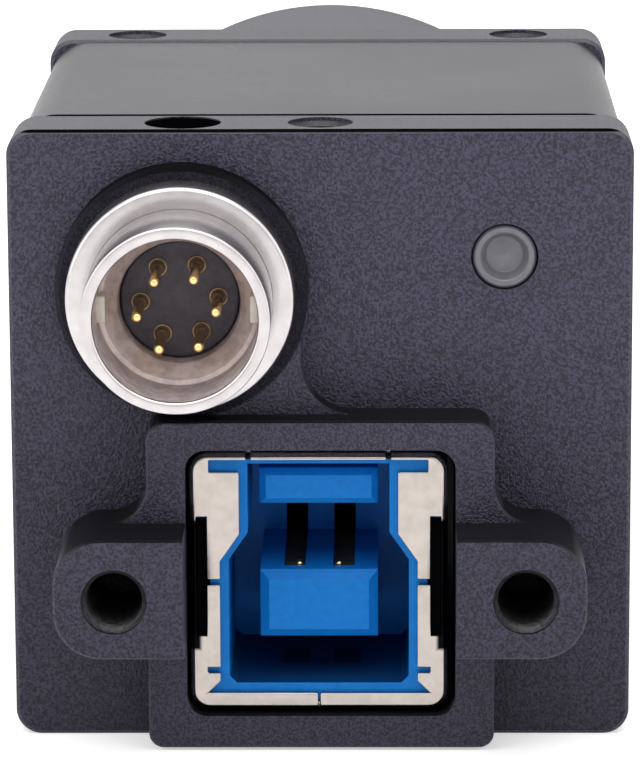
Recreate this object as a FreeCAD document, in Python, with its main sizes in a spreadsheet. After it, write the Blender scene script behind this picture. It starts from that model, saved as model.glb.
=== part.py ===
import FreeCAD, Part
import math
import os
import re
import Sketcher

# A machine vision camera with a square 29 mm body, drawn as a parametric FreeCAD document.
#
# The frame: the origin is the middle of the lens flange, +Y looks out of the lens, +Z is up and
# +X is to the right of somebody who looks at the rear panel. Almost everything is measured as a
# depth behind the flange, so a depth of 40 lies at Y = -40. Sizes are in millimetres.

V = FreeCAD.Vector

# ---------------------------------------------------------------- driving sizes
SIZES = {
    # body
    "body_width": 29.0,
    "body_height": 29.0,
    "block_corner": 1.2,
    "block_length": 4.1,
    "cover_length": 24.7,
    "rear_length": 4.2,
    "cover_corner": 1.9,
    "cover_inset": 0.1,
    "cover_wall": 0.8,
    "spigot_gap": 0.1,
    "front_spigot": 3.0,
    "rear_spigot": 2.0,
    "spigot_wall": 1.1,
    "spigot_corner": 0.5,
    "edge_break": 0.18,
    # lens mount
    "ring_inset": 0.25,
    "ring_length": 11.5,
    "ring_chamfer": 0.4,
    "mount_bore": 24.6,
    "mount_depth": 4.2,
    "filter_bore": 22.6,
    "filter_seat": 11.2,
    "filter_ledge": 1.6,
    "aperture_dia": 18.0,
    "flange_focal": 17.526,
    "sensor_pocket": 16.8,
    "pocket_corner": 1.0,
    # screws that hold the body together
    "tie_inset": 1.9,
    "tie_shank": 1.6,
    "tie_head": 2.9,
    "tie_head_height": 1.0,
    "tie_drive": 1.5,
    "tie_drive_depth": 0.7,
    "tie_thread": 3.2,
    "tie_clear": 0.15,
    # tapped holes for mounting the camera
    "tap_dia": 3.05,
    "tap_depth": 4.0,
    "front_tap_x": 10.0,
    "front_tap_back": 2.2,
    "rear_tap_back": 2.1,
    # filter and sensor
    "filter_thick": 1.0,
    "retainer_thick": 1.2,
    "retainer_width": 2.0,
    "retainer_slot": 1.6,
    "fit_gap": 0.1,
    "package_clear": 1.1,
    "package_wall": 1.7,
    "package_rim": 1.4,
    "die_width": 9.2,
    "die_height": 7.0,
    "die_thick": 0.35,
    "window_thick": 0.7,
    "window_inset": 0.5,
    "seal_lip": 1.0,
    # boards
    "board_gap": 2.0,
    "board_thick": 1.4,
    "board_corner": 1.0,
    "stack_inset": 1.7,
    "stack_top": 4.0,
    "spacer_flats": 3.6,
    "stack_end_gap": 6.3,
    "rear_spacer": 5.2,
    "thread_gap": 0.05,
    "bore_relief": 0.4,
    "nut_flats": 3.2,
    "nut_thick": 1.2,
    # rear panel
    "boss_x": -6.4,
    "boss_z": 7.14,
    "boss_margin": 0.62,
    "boss_step": 1.35,
    "boss_chamfer": 0.22,
    "web_right": -0.9,
    "web_fillet": 2.5,
    "platform_width": 16.14,
    "platform_over": 7.77,
    "platform_margin": 0.15,
    "platform_step": 2.75,
    "platform_corner": 1.05,
    "platform_foot": 0.7,
    "ear_width": 24.5,
    "ear_over": 2.92,
    "ear_under": 2.73,
    "ear_step": 6.0,
    "ear_corner": 2.2,
    "ear_blend": 1.75,
    "ear_foot_blend": 0.6,
    "panel_break": 0.1,
    "lock_x": 9.45,
    "lock_dia": 3.05,
    "lock_depth": 7.0,
    "light_x": 8.55,
    "light_z": 8.51,
    "light_dia": 3.0,
    "light_gap": 0.06,
    "light_sink": 0.05,
    "light_collar": 0.5,
    "light_collar_height": 0.8,
    "lamp_size": 1.6,
    "lamp_height": 0.9,
    "lamp_gap": 0.3,
    # square data socket
    "socket_shift": -0.1,
    "socket_rise": 8.08,
    "socket_width": 12.0,
    "socket_height": 12.3,
    "socket_corner": 0.9,
    "socket_sink": 0.35,
    "socket_wall": 0.3,
    "socket_fold": 0.2,
    "cutout_width": 12.53,
    "cutout_height": 12.75,
    "cutout_corner": 0.95,
    "mouth_low": 4.6,
    "mouth_high": 3.7,
    "mouth_waist": 1.0,
    "mouth_slope": 1.3,
    "mouth_floor": 5.36,
    "mouth_mitre": 0.6,
    "notch_reach": 0.6,
    "notch_height": 0.3,
    "upper_notch_z": 0.0,
    "lower_notch_z": -4.25,
    "flap_top": 5.24,
    "relief_width": 0.5,
    "relief_middle": 0.27,
    "relief_height": 5.75,
    "slit_x": 3.25,
    "slit_width": 0.24,
    "slit_depth": 1.2,
    "split_width": 0.12,
    "rim_width": 0.4,
    "moulding_gap": 0.05,
    "cavity_depth": 8.5,
    "cavity_mitre": 0.35,
    "cavity_top": 5.6,
    "tongue_width": 5.5,
    "tongue_z": -1.31,
    "tongue_height": 3.22,
    "tongue_bevel": 0.42,
    "tongue_sink": 0.5,
    "shelf_z": 4.37,
    "shelf_height": 1.68,
    "shelf_bevel": 0.3,
    "contact_x": 1.15,
    "contact_width": 0.9,
    "contact_thick": 0.2,
    "groove_depth": 0.5,
    "groove_end": 1.2,
    "fast_width": 0.4,
    "fast_pitch": 1.0,
    "back_slot_height": 1.2,
    "back_slot_depth": 0.8,
    # round socket
    "nut_wall": 0.97,
    "nut_height": 2.1,
    "nut_break": 0.15,
    "barrel_dia": 8.56,
    "barrel_reach": 8.1,
    "barrel_wall": 0.56,
    "barrel_lead": 3.1,
    "ledge_step": 0.42,
    "barrel_break": 0.15,
    "cone_foot": 0.5,
    "shell_tail": 2.0,
    "insulator_dia": 5.46,
    "insulator_reach": 2.9,
    "pin_ring": 1.79,
    "pin_dia": 0.46,
    "pin_length": 3.8,
    "pin_turn": 3.5,
    "pin_gap": 0.02,
    "flange_lip": 0.67,
    "flange_height": 1.2,
    "lock_screw_dia": 3.58,
    "lock_screw_sink": 0.9,
    "lock_drive": 1.5,
    "lock_drive_depth": 1.0,
    # board-to-board connectors
    "connector_gap": 0.6,
    "connector_depth": 4.4,
    "connector_wall": 1.2,
    "connector_floor": 0.4,
    "connector_play": 0.2,
    "front_link_rise": 3.4,
    "rear_link_rise": 2.7,
    # parts soldered to the boards
    "processor_size": 13.0,
    "processor_thick": 1.5,
    "processor_z": 0.6,
    "memory_width": 12.0,
    "memory_height": 8.0,
    "memory_thick": 1.1,
    "memory_z": 4.2,
    "link_size": 8.0,
    "link_thick": 0.9,
    "link_z": 2.6,
    "inductor_size": 4.0,
    "inductor_height": 2.0,
    "inductor_x": 4.4,
    "inductor_z": 8.4,
}

doc = FreeCAD.newDocument("vision_camera")
sheet = doc.addObject("Spreadsheet::Sheet", "Sizes")
for row, (alias, value) in enumerate(SIZES.items(), start=1):
    sheet.set(f"A{row}", alias)
    sheet.set(f"B{row}", str(value))
    sheet.setAlias(f"B{row}", alias)
doc.recompute()

# Depths behind the flange that several pieces share, written with the names of the sheet.
BLOCK_FACE = "ring_length"
COVER_FRONT = "ring_length + block_length"
COVER_BACK = f"{COVER_FRONT} + cover_length"
REAR_FACE = f"{COVER_BACK} + rear_length"
SPIGOT_END = f"{COVER_BACK} - rear_spigot"
BOARD_1 = f"{COVER_FRONT} + front_spigot"
FRONT_SPACER = f"{COVER_BACK} - stack_end_gap - ({BOARD_1}) - 3 * board_thick - rear_spacer"
BOARD_2 = f"{BOARD_1} + board_thick + {FRONT_SPACER}"
BOARD_3 = f"{BOARD_2} + board_thick + rear_spacer"
BOARD_END = f"{BOARD_3} + board_thick"
SOCKET_FRONT = f"{REAR_FACE} + platform_step - socket_sink"
MOULDING_FACE = f"{SOCKET_FRONT} - socket_wall - moulding_gap"
CONTACT_TIP = f"{MOULDING_FACE} - tongue_sink - groove_end"
INSULATOR_FACE = f"{REAR_FACE} + insulator_reach"
FLANGE_FRONT = f"{COVER_BACK} - flange_height"
SENSOR_POCKET = "filter_seat + filter_ledge"
WINDOW_FRONT = "flange_focal + die_thick - package_rim - window_thick"
PACKAGE_FRONT = "flange_focal + die_thick - package_rim"

# Widths that several pieces share.
COVER_INSIDE = "2 * (cover_inset + cover_wall)"
PACKAGE_SIZE = "sensor_pocket - 2 * package_clear"
WINDOW_SIZE = f"{PACKAGE_SIZE} - 2 * window_inset"
GROOVE_WIDTH = "contact_width + 2 * moulding_gap"
RING_DIA = "min(body_width; body_height) - 2 * ring_inset"
NUT_DIA = "barrel_dia + 2 * nut_wall"
BOSS_DIA = f"{NUT_DIA} + 2 * boss_margin"
BARREL_BORE = "barrel_dia - 2 * barrel_wall"
BARREL_LEDGE = f"{BARREL_BORE} - 2 * ledge_step"
FLANGE_DIA = "barrel_dia + 2 * flange_lip"
BOARD_WIDTH = f"body_width - {COVER_INSIDE} - 2 * board_gap"
BOARD_HEIGHT = f"body_height - {COVER_INSIDE} - 2 * board_gap"

# Places that several pieces share: the long screws, the board stack and the data socket, which
# stands a set way above the bottom of the body.
TIE_X = "body_width / 2 - tie_inset"
TIE_Z = "body_height / 2 - tie_inset"
STACK_X = f"({BOARD_WIDTH}) / 2 - stack_inset"
STACK_Z = f"({BOARD_HEIGHT}) / 2 - stack_inset"
CONNECTOR_LENGTH = f"2 * ({STACK_X} - connector_gap) - spacer_flats"
SOCKET_Z = "socket_rise - body_height / 2"
PLATFORM_TOP = f"{SOCKET_Z} + platform_over"
PLATFORM_BOTTOM = "platform_margin - body_height / 2"
EAR_TOP = f"{SOCKET_Z} + ear_over"
EAR_BOTTOM = f"{SOCKET_Z} - ear_under"


def bound(text):
    """The expression with the sheet's name put before each of its aliases."""
    return re.sub(r"[a-z]\w*", lambda m: f"Sizes.{m[0]}" if m[0] in SIZES else m[0], text)


def size(text):
    """What an expression is worth now, as a plain number."""
    return float(sheet.evalExpression(bound(str(text))))


# ---------------------------------------------------------------- drawing helpers
def new_body(label):
    body = doc.addObject("PartDesign::Body", label)
    body.AllowCompound = True
    return body


def sketch_on(body, role, offset="0", across="0", up="0"):
    """A sketch on one of the body's own planes, moved along its normal and within it."""
    sketch = body.newObject("Sketcher::SketchObject", "Sketch")
    face = next(f for f in body.Origin.OriginFeatures if f.Role == role)
    sketch.AttachmentSupport = [(face, "")]
    sketch.MapMode = "FlatFace"
    sketch.setExpression(".AttachmentOffset.Base.x", bound(across))
    sketch.setExpression(".AttachmentOffset.Base.y", bound(up))
    sketch.setExpression(".AttachmentOffset.Base.z", bound(offset))
    return sketch


def across_axis(body, depth):
    """A sketch square to the optical axis: its X is the camera's X and its Y is the camera's Z."""
    return sketch_on(body, "XZ_Plane", depth)


def drive(sketch, kind, geometry, text):
    """A dimension of the sketch that follows an expression."""
    index = sketch.addConstraint(Sketcher.Constraint(kind, *geometry, size(text)))
    sketch.setExpression(f"Constraints[{index}]", bound(text))


def circle(sketch, x, z, diameter):
    middle = V(size(x), size(z), 0)
    index = sketch.addGeometry(Part.Circle(middle, V(0, 0, 1), size(diameter) / 2))
    drive(sketch, "DistanceX", (-1, 1, index, 3), x)
    drive(sketch, "DistanceY", (-1, 1, index, 3), z)
    drive(sketch, "Diameter", (index,), diameter)


def polygon(sketch, points):
    """A closed outline with straight sides, each corner held by its two expressions."""
    spots = [V(size(x), size(z), 0) for x, z in points]
    count = len(points)
    first = sketch.GeometryCount
    for n in range(count):
        sketch.addGeometry(Part.LineSegment(spots[n], spots[(n + 1) % count]))
    for n in range(count):
        following = first + (n + 1) % count
        sketch.addConstraint(Sketcher.Constraint("Coincident", first + n, 2, following, 1))
    for n, (x, z) in enumerate(points):
        drive(sketch, "DistanceX", (-1, 1, first + n, 1), x)
        drive(sketch, "DistanceY", (-1, 1, first + n, 1), z)


def rectangle(sketch, x, z, width, height):
    """A rectangle about the point (x, z)."""
    left, right = f"{x} - ({width}) / 2", f"{x} + ({width}) / 2"
    low, high = f"{z} - ({height}) / 2", f"{z} + ({height}) / 2"
    polygon(sketch, [(left, low), (right, low), (right, high), (left, high)])


def outline(sketch, corners):
    """A closed outline of level and upright sides. A corner is (x, z, radius), inward or outward,
    and is sharp where its radius is None."""
    count = len(corners)
    spots = [V(size(x), size(z), 0) for x, z, radius in corners]
    radii = [size(radius) if radius else 0 for x, z, radius in corners]
    ways = [(spots[(n + 1) % count] - spots[n]).normalize() for n in range(count)]
    first = sketch.GeometryCount
    for n in range(count):
        after = (n + 1) % count
        start, end = spots[n] + ways[n] * radii[n], spots[after] - ways[n] * radii[after]
        sketch.addGeometry(Part.LineSegment(start, end))
    for n, (x, z, radius) in enumerate(corners):
        side, before = first + n, first + (n - 1) % count
        level = abs(ways[n].x) > 0.5
        sketch.addConstraint(Sketcher.Constraint("Horizontal" if level else "Vertical", side))
        drive(sketch, "DistanceY" if level else "DistanceX", (-1, 1, side, 1), z if level else x)
        if not radius:
            sketch.addConstraint(Sketcher.Constraint("Coincident", before, 2, side, 1))
            continue
        coming, going = ways[(n - 1) % count], ways[n]
        centre = spots[n] + (going - coming) * radii[n]
        outward = coming.cross(going).z > 0
        towards = going * -1 if outward else coming
        angle = math.atan2(towards.y, towards.x)
        curve = Part.Circle(centre, V(0, 0, 1), radii[n])
        arc = sketch.addGeometry(Part.ArcOfCircle(curve, angle, angle + math.pi / 2))
        enter, leave = (1, 2) if outward else (2, 1)
        sketch.addConstraint(Sketcher.Constraint("Tangent", before, 2, arc, enter))
        sketch.addConstraint(Sketcher.Constraint("Tangent", arc, leave, side, 1))
        drive(sketch, "Radius", (arc,), radius)


def rounded_rectangle(sketch, x, z, width, height, radius):
    left, right = f"{x} - ({width}) / 2", f"{x} + ({width}) / 2"
    low, high = f"{z} - ({height}) / 2", f"{z} + ({height}) / 2"
    outline(sketch, [(a, b, radius) for a, b in ((left, low), (right, low), (right, high), (left, high))])


def hexagon(sketch, x, z, flats):
    """A hexagon about (x, z) with two flats upright."""
    corners = []
    for n in range(6):
        turn = math.radians(60 * n + 30)
        reach = f"({flats}) / {math.sqrt(3):.9f}"
        corners.append((f"{x} + {reach} * {math.cos(turn):.9f}",
                        f"{z} + {reach} * {math.sin(turn):.9f}"))
    polygon(sketch, corners)


def pad(body, sketch, length):
    """Material from the sketch, towards the rear for a sketch across the axis."""
    feature = body.newObject("PartDesign::Pad", "Pad")
    feature.Profile = sketch
    feature.setExpression("Length", bound(length))
    doc.recompute()
    return feature


def pocket(body, sketch, depth, reverse=True):
    """A cut from the sketch, towards the rear for a sketch across the axis."""
    before = body.Shape.Volume
    feature = body.newObject("PartDesign::Pocket", "Pocket")
    feature.Profile = sketch
    feature.Reversed = reverse
    feature.setExpression("Length", bound(depth))
    doc.recompute()
    if body.Shape.Volume >= before - 1e-6:
        raise RuntimeError(f"a pocket of {body.Label} cuts nothing")
    return feature


def turned(body, x, z, profile):
    """A revolution about an axis along Y at (x, z); the profile is radius and depth pairs."""
    sketch = sketch_on(body, "XY_Plane", z, across=x)
    polygon(sketch, [(radius, f"0 - ({depth})") for radius, depth in profile])
    feature = body.newObject("PartDesign::Revolution", "Revolution")
    feature.Profile = sketch
    feature.ReferenceAxis = (sketch, ["V_Axis"])
    feature.Angle = 360
    doc.recompute()
    return feature


def edges_where(shape, wanted):
    """The names of the edges whose middle point and end points satisfy a test."""
    names = []
    for n, edge in enumerate(shape.Edges, start=1):
        if wanted(edge, edge.CenterOfMass):
            names.append(f"Edge{n}")
    return names


def dress(body, kind, names, text):
    """A Fillet or a Chamfer on named edges of the body's last feature."""
    if not names:
        raise RuntimeError(f"{kind} on {body.Label} found no edge")
    feature = body.newObject(f"PartDesign::{kind}", kind)
    feature.Base = (body.Tip if body.Tip != feature else feature.BaseFeature, names)
    feature.setExpression("Radius" if kind == "Fillet" else "Size", bound(text))
    doc.recompute()
    if "Invalid" in feature.State:
        raise RuntimeError(f"a {kind} of {body.Label} failed")
    return feature


def box(label, x, z, depth, width, height, thick):
    """A plain block about (x, z) whose front is at a depth behind the flange."""
    block = doc.addObject("Part::Box", label)
    block.setExpression("Length", bound(width))
    block.setExpression("Width", bound(thick))
    block.setExpression("Height", bound(height))
    block.setExpression(".Placement.Base.x", bound(f"{x} - ({width}) / 2"))
    block.setExpression(".Placement.Base.y", bound(f"0 - ({depth}) - ({thick})"))
    block.setExpression(".Placement.Base.z", bound(f"{z} - ({height}) / 2"))
    return block


def stack_points():
    """Where the spacers and screws of the board stack stand."""
    return [(x, z) for x in (STACK_X, f"0 - ({STACK_X})") for z in ("stack_top", f"0 - ({STACK_Z})")]


def tie_points():
    """Where the four long screws stand."""
    return [(x, z) for x in (TIE_X, f"0 - ({TIE_X})") for z in (TIE_Z, f"0 - ({TIE_Z})")]


def circles_at(body, depth, points, diameter):
    sketch = across_axis(body, depth)
    for x, z in points:
        circle(sketch, x, z, diameter)
    return sketch


# ---------------------------------------------------------------- the three housings
def block_outline(body, depth):
    sketch = across_axis(body, depth)
    rounded_rectangle(sketch, "0", "0", "body_width", "body_height", "block_corner")
    return sketch


def spigot_outline(body, depth):
    """The step that centres a block in the cover, with its corners left free for the long screws."""
    sketch = across_axis(body, depth)
    inner_w = f"body_width - {COVER_INSIDE} - 2 * spigot_gap"
    inner_h = f"body_height - {COVER_INSIDE} - 2 * spigot_gap"
    right, high = f"({inner_w}) / 2", f"({inner_h}) / 2"
    step_x, step_z = (f"{place} - tie_head / 2 + tie_clear" for place in (TIE_X, TIE_Z))
    quarter = [(right, step_z), (step_x, step_z), (step_x, high)]
    points = list(quarter)
    points += [(f"0 - ({x})", z) for x, z in reversed(quarter)]
    points += [(f"0 - ({x})", f"0 - ({z})") for x, z in quarter]
    points += [(x, f"0 - ({z})") for x, z in reversed(quarter)]
    polygon(sketch, points)
    return sketch


def rim_edges(shape, y, reach):
    """Edges that lie in the plane Y = y and at or beyond a distance from the axis."""
    return edges_where(shape, lambda e, c: abs(c.y - y) < 1e-4 and abs(e.BoundBox.YLength) < 1e-4
                       and max(abs(c.x), abs(c.z)) > reach)


def lens_mount_block():
    body = new_body("lens_mount_block")
    ring = across_axis(body, "0")
    circle(ring, "0", "0", RING_DIA)
    pad(body, ring, BLOCK_FACE)
    names = edges_where(body.Shape, lambda e, c: abs(c.y) < 1e-4)
    dress(body, "Chamfer", names, "ring_chamfer")
    pad(body, block_outline(body, BLOCK_FACE), "block_length")
    half = size("body_width") / 2
    for depth in (BLOCK_FACE, COVER_FRONT):
        names = rim_edges(body.Shape, -size(depth), half - size("block_corner"))
        dress(body, "Chamfer", names, "edge_break")
    pad(body, spigot_outline(body, COVER_FRONT), "front_spigot")
    pocket(body, circles_at(body, "0", [("0", "0")], "mount_bore"), "mount_depth")
    pocket(body, circles_at(body, "mount_depth", [("0", "0")], "filter_bore"),
           "filter_seat - mount_depth")
    pocket(body, circles_at(body, "filter_seat", [("0", "0")], "aperture_dia"), "filter_ledge")
    window = across_axis(body, SENSOR_POCKET)
    rounded_rectangle(window, "0", "0", "sensor_pocket", "sensor_pocket", "pocket_corner")
    pocket(body, window, f"{BOARD_1} - ({SENSOR_POCKET})")
    pocket(body, circles_at(body, BLOCK_FACE, tie_points(), "tie_shank + 2 * tie_clear"),
           "block_length")
    pocket(body, circles_at(body, BLOCK_FACE, tie_points(), "tie_head + tie_clear"),
           "tie_head_height + tie_clear")
    for z, reverse in (("body_height / 2", False), ("0 - body_height / 2", True)):
        taps = sketch_on(body, "XY_Plane", z)
        for x in ("front_tap_x", "0 - front_tap_x"):
            circle(taps, x, f"0 - ({BLOCK_FACE} + front_tap_back)", "tap_dia")
        pocket(body, taps, "tap_depth", reverse)
    return body


def wrap_cover():
    body = new_body("wrap_cover")
    outer = across_axis(body, COVER_FRONT)
    width, height = "body_width - 2 * cover_inset", "body_height - 2 * cover_inset"
    rounded_rectangle(outer, "0", "0", width, height, "cover_corner")
    pad(body, outer, "cover_length")
    inner = across_axis(body, COVER_FRONT)
    rounded_rectangle(inner, "0", "0", f"body_width - {COVER_INSIDE}",
                      f"body_height - {COVER_INSIDE}", "cover_corner - cover_wall")
    pocket(body, inner, "cover_length")
    return body


def break_outline(body, step):
    """A fine chamfer round the raised level that lies one step behind the rear face."""
    level = -size(f"{REAR_FACE} + {step}")
    names = edges_where(body.Shape, lambda e, c: abs(c.y - level) < 1e-4
                        and e.BoundBox.YLength < 1e-4)
    dress(body, "Chamfer", names, "panel_break")


def rear_block():
    """The stepped rear block: a plate, a round boss with its web, a platform and two ears."""
    body = new_body("rear_block")
    pad(body, block_outline(body, COVER_BACK), "rear_length")
    half = size("body_width") / 2
    for depth in (REAR_FACE, COVER_BACK):
        names = rim_edges(body.Shape, -size(depth), half - size("block_corner"))
        dress(body, "Chamfer", names, "edge_break")

    pad(body, spigot_outline(body, SPIGOT_END), "rear_spigot")
    hollow = across_axis(body, SPIGOT_END)
    wall = f"{COVER_INSIDE} + 2 * spigot_gap + 2 * spigot_wall"
    rounded_rectangle(hollow, "0", "0", f"body_width - ({wall})", f"body_height - ({wall})",
                      "spigot_corner")
    pocket(body, hollow, "rear_spigot")

    boss = across_axis(body, REAR_FACE)
    circle(boss, "boss_x", "boss_z", BOSS_DIA)
    pad(body, boss, "boss_step")
    boss_end = -size(f"{REAR_FACE} + boss_step")
    names = edges_where(body.Shape, lambda e, c: abs(c.y - boss_end) < 1e-4)
    dress(body, "Chamfer", names, "boss_chamfer")
    web = across_axis(body, REAR_FACE)
    rectangle(web, "(boss_x + web_right) / 2", f"(boss_z + {PLATFORM_TOP}) / 2",
              "web_right - boss_x", f"boss_z - ({PLATFORM_TOP})")
    pad(body, web, "boss_step")

    platform = across_axis(body, REAR_FACE)
    side = "platform_width / 2"
    wing = f"{side} + ear_blend + 2 * panel_break"
    right_half = [
        (side, PLATFORM_BOTTOM, "platform_foot"),
        (side, EAR_BOTTOM, "ear_foot_blend"),
        (wing, EAR_BOTTOM, None),
        (wing, EAR_TOP, None),
        (side, EAR_TOP, "ear_blend"),
        (side, PLATFORM_TOP, "platform_corner"),
    ]
    left_half = [(f"0 - ({x})", z, radius) for x, z, radius in reversed(right_half)]
    outline(platform, right_half + left_half)
    pad(body, platform, "platform_step")
    break_outline(body, "platform_step")
    ears = across_axis(body, REAR_FACE)
    rounded_rectangle(ears, "0", f"{SOCKET_Z} + (ear_over - ear_under) / 2", "ear_width",
                      "ear_over + ear_under", "ear_corner")
    pad(body, ears, "ear_step")
    break_outline(body, "ear_step")
    right = size("web_right")
    top = size(PLATFORM_TOP)
    names = edges_where(body.Shape, lambda e, c: e.BoundBox.YLength > 1
                        and abs(c.x - right) < 1e-4 and abs(c.z - top) < 1e-4)
    dress(body, "Fillet", names, "web_fillet")

    cutout = across_axis(body, SPIGOT_END)
    rounded_rectangle(cutout, "0", SOCKET_Z, "cutout_width", "cutout_height", "cutout_corner")
    pocket(body, cutout, "rear_spigot + rear_length + ear_step")
    bore = circles_at(body, COVER_BACK, [("boss_x", "boss_z")], "barrel_dia + 2 * fit_gap")
    pocket(body, bore, "rear_length + boss_step")
    light = circles_at(body, COVER_BACK, [("light_x", "light_z")], "light_dia + 2 * light_gap")
    pocket(body, light, "rear_length")
    locks = circles_at(body, f"{REAR_FACE} + ear_step - lock_depth",
                       [("lock_x", SOCKET_Z), ("0 - lock_x", SOCKET_Z)], "lock_dia")
    pocket(body, locks, "lock_depth")
    pocket(body, circles_at(body, COVER_BACK, tie_points(), "tie_shank"), "tie_thread")

    middle_tap = sketch_on(body, "XY_Plane", "body_height / 2")
    circle(middle_tap, "0", f"0 - ({REAR_FACE} - rear_tap_back)", "tap_dia")
    pocket(body, middle_tap, "tap_depth", False)
    lock_hole = sketch_on(body, "XY_Plane", "body_height / 2")
    circle(lock_hole, "boss_x", f"0 - ({REAR_FACE} - rear_tap_back)", "lock_screw_dia")
    pocket(body, lock_hole, "body_height / 2 - boss_z - barrel_dia / 4", False)
    return body


# ---------------------------------------------------------------- filter and sensor
def filter_glass():
    body = new_body("filter_glass")
    sketch = circles_at(body, "filter_seat - filter_thick", [("0", "0")], "filter_bore - 2 * fit_gap")
    pad(body, sketch, "filter_thick")
    return body


def filter_retainer():
    """The ring that holds the filter down, with two slots for a spanner."""
    body = new_body("filter_retainer")
    start = "filter_seat - filter_thick - retainer_thick"
    ring = across_axis(body, start)
    circle(ring, "0", "0", "filter_bore - fit_gap")
    circle(ring, "0", "0", "filter_bore - 2 * retainer_width")
    pad(body, ring, "retainer_thick")
    slots = across_axis(body, start)
    rectangle(slots, "0", "0", "filter_bore", "retainer_slot")
    pocket(body, slots, "retainer_thick / 2")
    return body


def sensor_seal():
    body = new_body("sensor_seal")
    sketch = across_axis(body, SENSOR_POCKET)
    outside, opening = "sensor_pocket - 2 * fit_gap", f"{WINDOW_SIZE} - 2 * seal_lip"
    rounded_rectangle(sketch, "0", "0", outside, outside, "pocket_corner - fit_gap")
    rounded_rectangle(sketch, "0", "0", opening, opening, "pocket_corner")
    pad(body, sketch, f"{WINDOW_FRONT} - ({SENSOR_POCKET})")
    return body


def sensor_window():
    return box("sensor_window", "0", "0", WINDOW_FRONT, WINDOW_SIZE, WINDOW_SIZE, "window_thick")


def sensor_package():
    """A ceramic tray with the sensor on its floor; it stands on the first board."""
    body = new_body("sensor_package")
    sketch = across_axis(body, PACKAGE_FRONT)
    rectangle(sketch, "0", "0", PACKAGE_SIZE, PACKAGE_SIZE)
    pad(body, sketch, f"{BOARD_1} - ({PACKAGE_FRONT})")
    well = across_axis(body, PACKAGE_FRONT)
    inside = f"{PACKAGE_SIZE} - 2 * package_wall"
    rectangle(well, "0", "0", inside, inside)
    pocket(body, well, "package_rim")
    return body


def sensor_die():
    return box("sensor_die", "0", "0", "flange_focal", "die_width", "die_height", "die_thick")


# ---------------------------------------------------------------- boards
def board(label, depth):
    """A board with its corners cut off."""
    body = new_body(label)
    sketch = across_axis(body, depth)
    side, top = f"(({BOARD_WIDTH}) / 2)", f"(({BOARD_HEIGHT}) / 2)"
    quarter = [(side, f"{top} - board_corner"), (f"{side} - board_corner", top)]
    points = list(quarter)
    points += [(f"0 - ({x})", z) for x, z in reversed(quarter)]
    points += [(f"0 - ({x})", f"0 - ({z})") for x, z in quarter]
    points += [(x, f"0 - ({z})") for x, z in reversed(quarter)]
    polygon(sketch, points)
    pad(body, sketch, "board_thick")
    return body


def hexagons(label, depth, flats, length):
    """Four like hexagonal pieces, one at each corner of the stack."""
    body = new_body(label)
    sketch = across_axis(body, depth)
    for x, z in stack_points():
        hexagon(sketch, x, z, flats)
    pad(body, sketch, length)
    return body


def tie_screws():
    """Four long screws from the front block to the rear block."""
    body = new_body("tie_screws")
    heads = circles_at(body, f"{BLOCK_FACE} + tie_clear", tie_points(), "tie_head")
    pad(body, heads, "tie_head_height")
    start = f"{BLOCK_FACE} + tie_clear + tie_head_height"
    shanks = circles_at(body, start, tie_points(), "tie_shank - 2 * thread_gap")
    pad(body, shanks, f"{COVER_BACK} + tie_thread - bore_relief - ({start})")
    drive_cut = across_axis(body, f"{BLOCK_FACE} + tie_clear")
    for x, z in tie_points():
        hexagon(drive_cut, x, z, "tie_drive")
    pocket(body, drive_cut, "tie_drive_depth")
    return body


def board_connector(label, depth, gap, z):
    """A pair of board-to-board connectors: the plug's tongue sits in the socket's slot."""
    half = f"({gap}) / 2"
    tongue_length, tongue_depth = (f"{whole} - 2 * connector_wall"
                                   for whole in (CONNECTOR_LENGTH, "connector_depth"))
    plug = new_body(f"{label}_plug")
    base = across_axis(plug, depth)
    rectangle(base, "0", z, CONNECTOR_LENGTH, "connector_depth")
    pad(plug, base, half)
    tongue = across_axis(plug, f"{depth} + {half}")
    rectangle(tongue, "0", z, tongue_length, tongue_depth)
    pad(plug, tongue, f"{half} - connector_floor - connector_play")
    socket = new_body(f"{label}_socket")
    base = across_axis(socket, f"{depth} + {half}")
    rectangle(base, "0", z, CONNECTOR_LENGTH, "connector_depth")
    pad(socket, base, half)
    slot = across_axis(socket, f"{depth} + {half}")
    rectangle(slot, "0", z, f"{tongue_length} + 2 * fit_gap", f"{tongue_depth} + 2 * fit_gap")
    pocket(socket, slot, f"{half} - connector_floor")
    return [plug, socket]


def chips():
    """The larger parts soldered to the boards."""
    return [
        box("processor_chip", "0", "processor_z", f"{BOARD_2} + board_thick",
            "processor_size", "processor_size", "processor_thick"),
        box("memory_chip", "0", "memory_z", f"{BOARD_2} - memory_thick",
            "memory_width", "memory_height", "memory_thick"),
        box("link_chip", "0", "link_z", f"{BOARD_3} - link_thick",
            "link_size", "link_size", "link_thick"),
        box("power_inductor", "inductor_x", "inductor_z", BOARD_END,
            "inductor_size", "inductor_size", "inductor_height"),
    ]


# ---------------------------------------------------------------- square data socket
def mirrored(half):
    """A closed outline from its right half, listed from the foot to the top."""
    return half + [(f"2 * socket_shift - ({x})", z) for x, z in reversed(half)]


def beside(x):
    return f"socket_shift + {x}"


def above(z):
    return f"{SOCKET_Z} + {z}"


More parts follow.
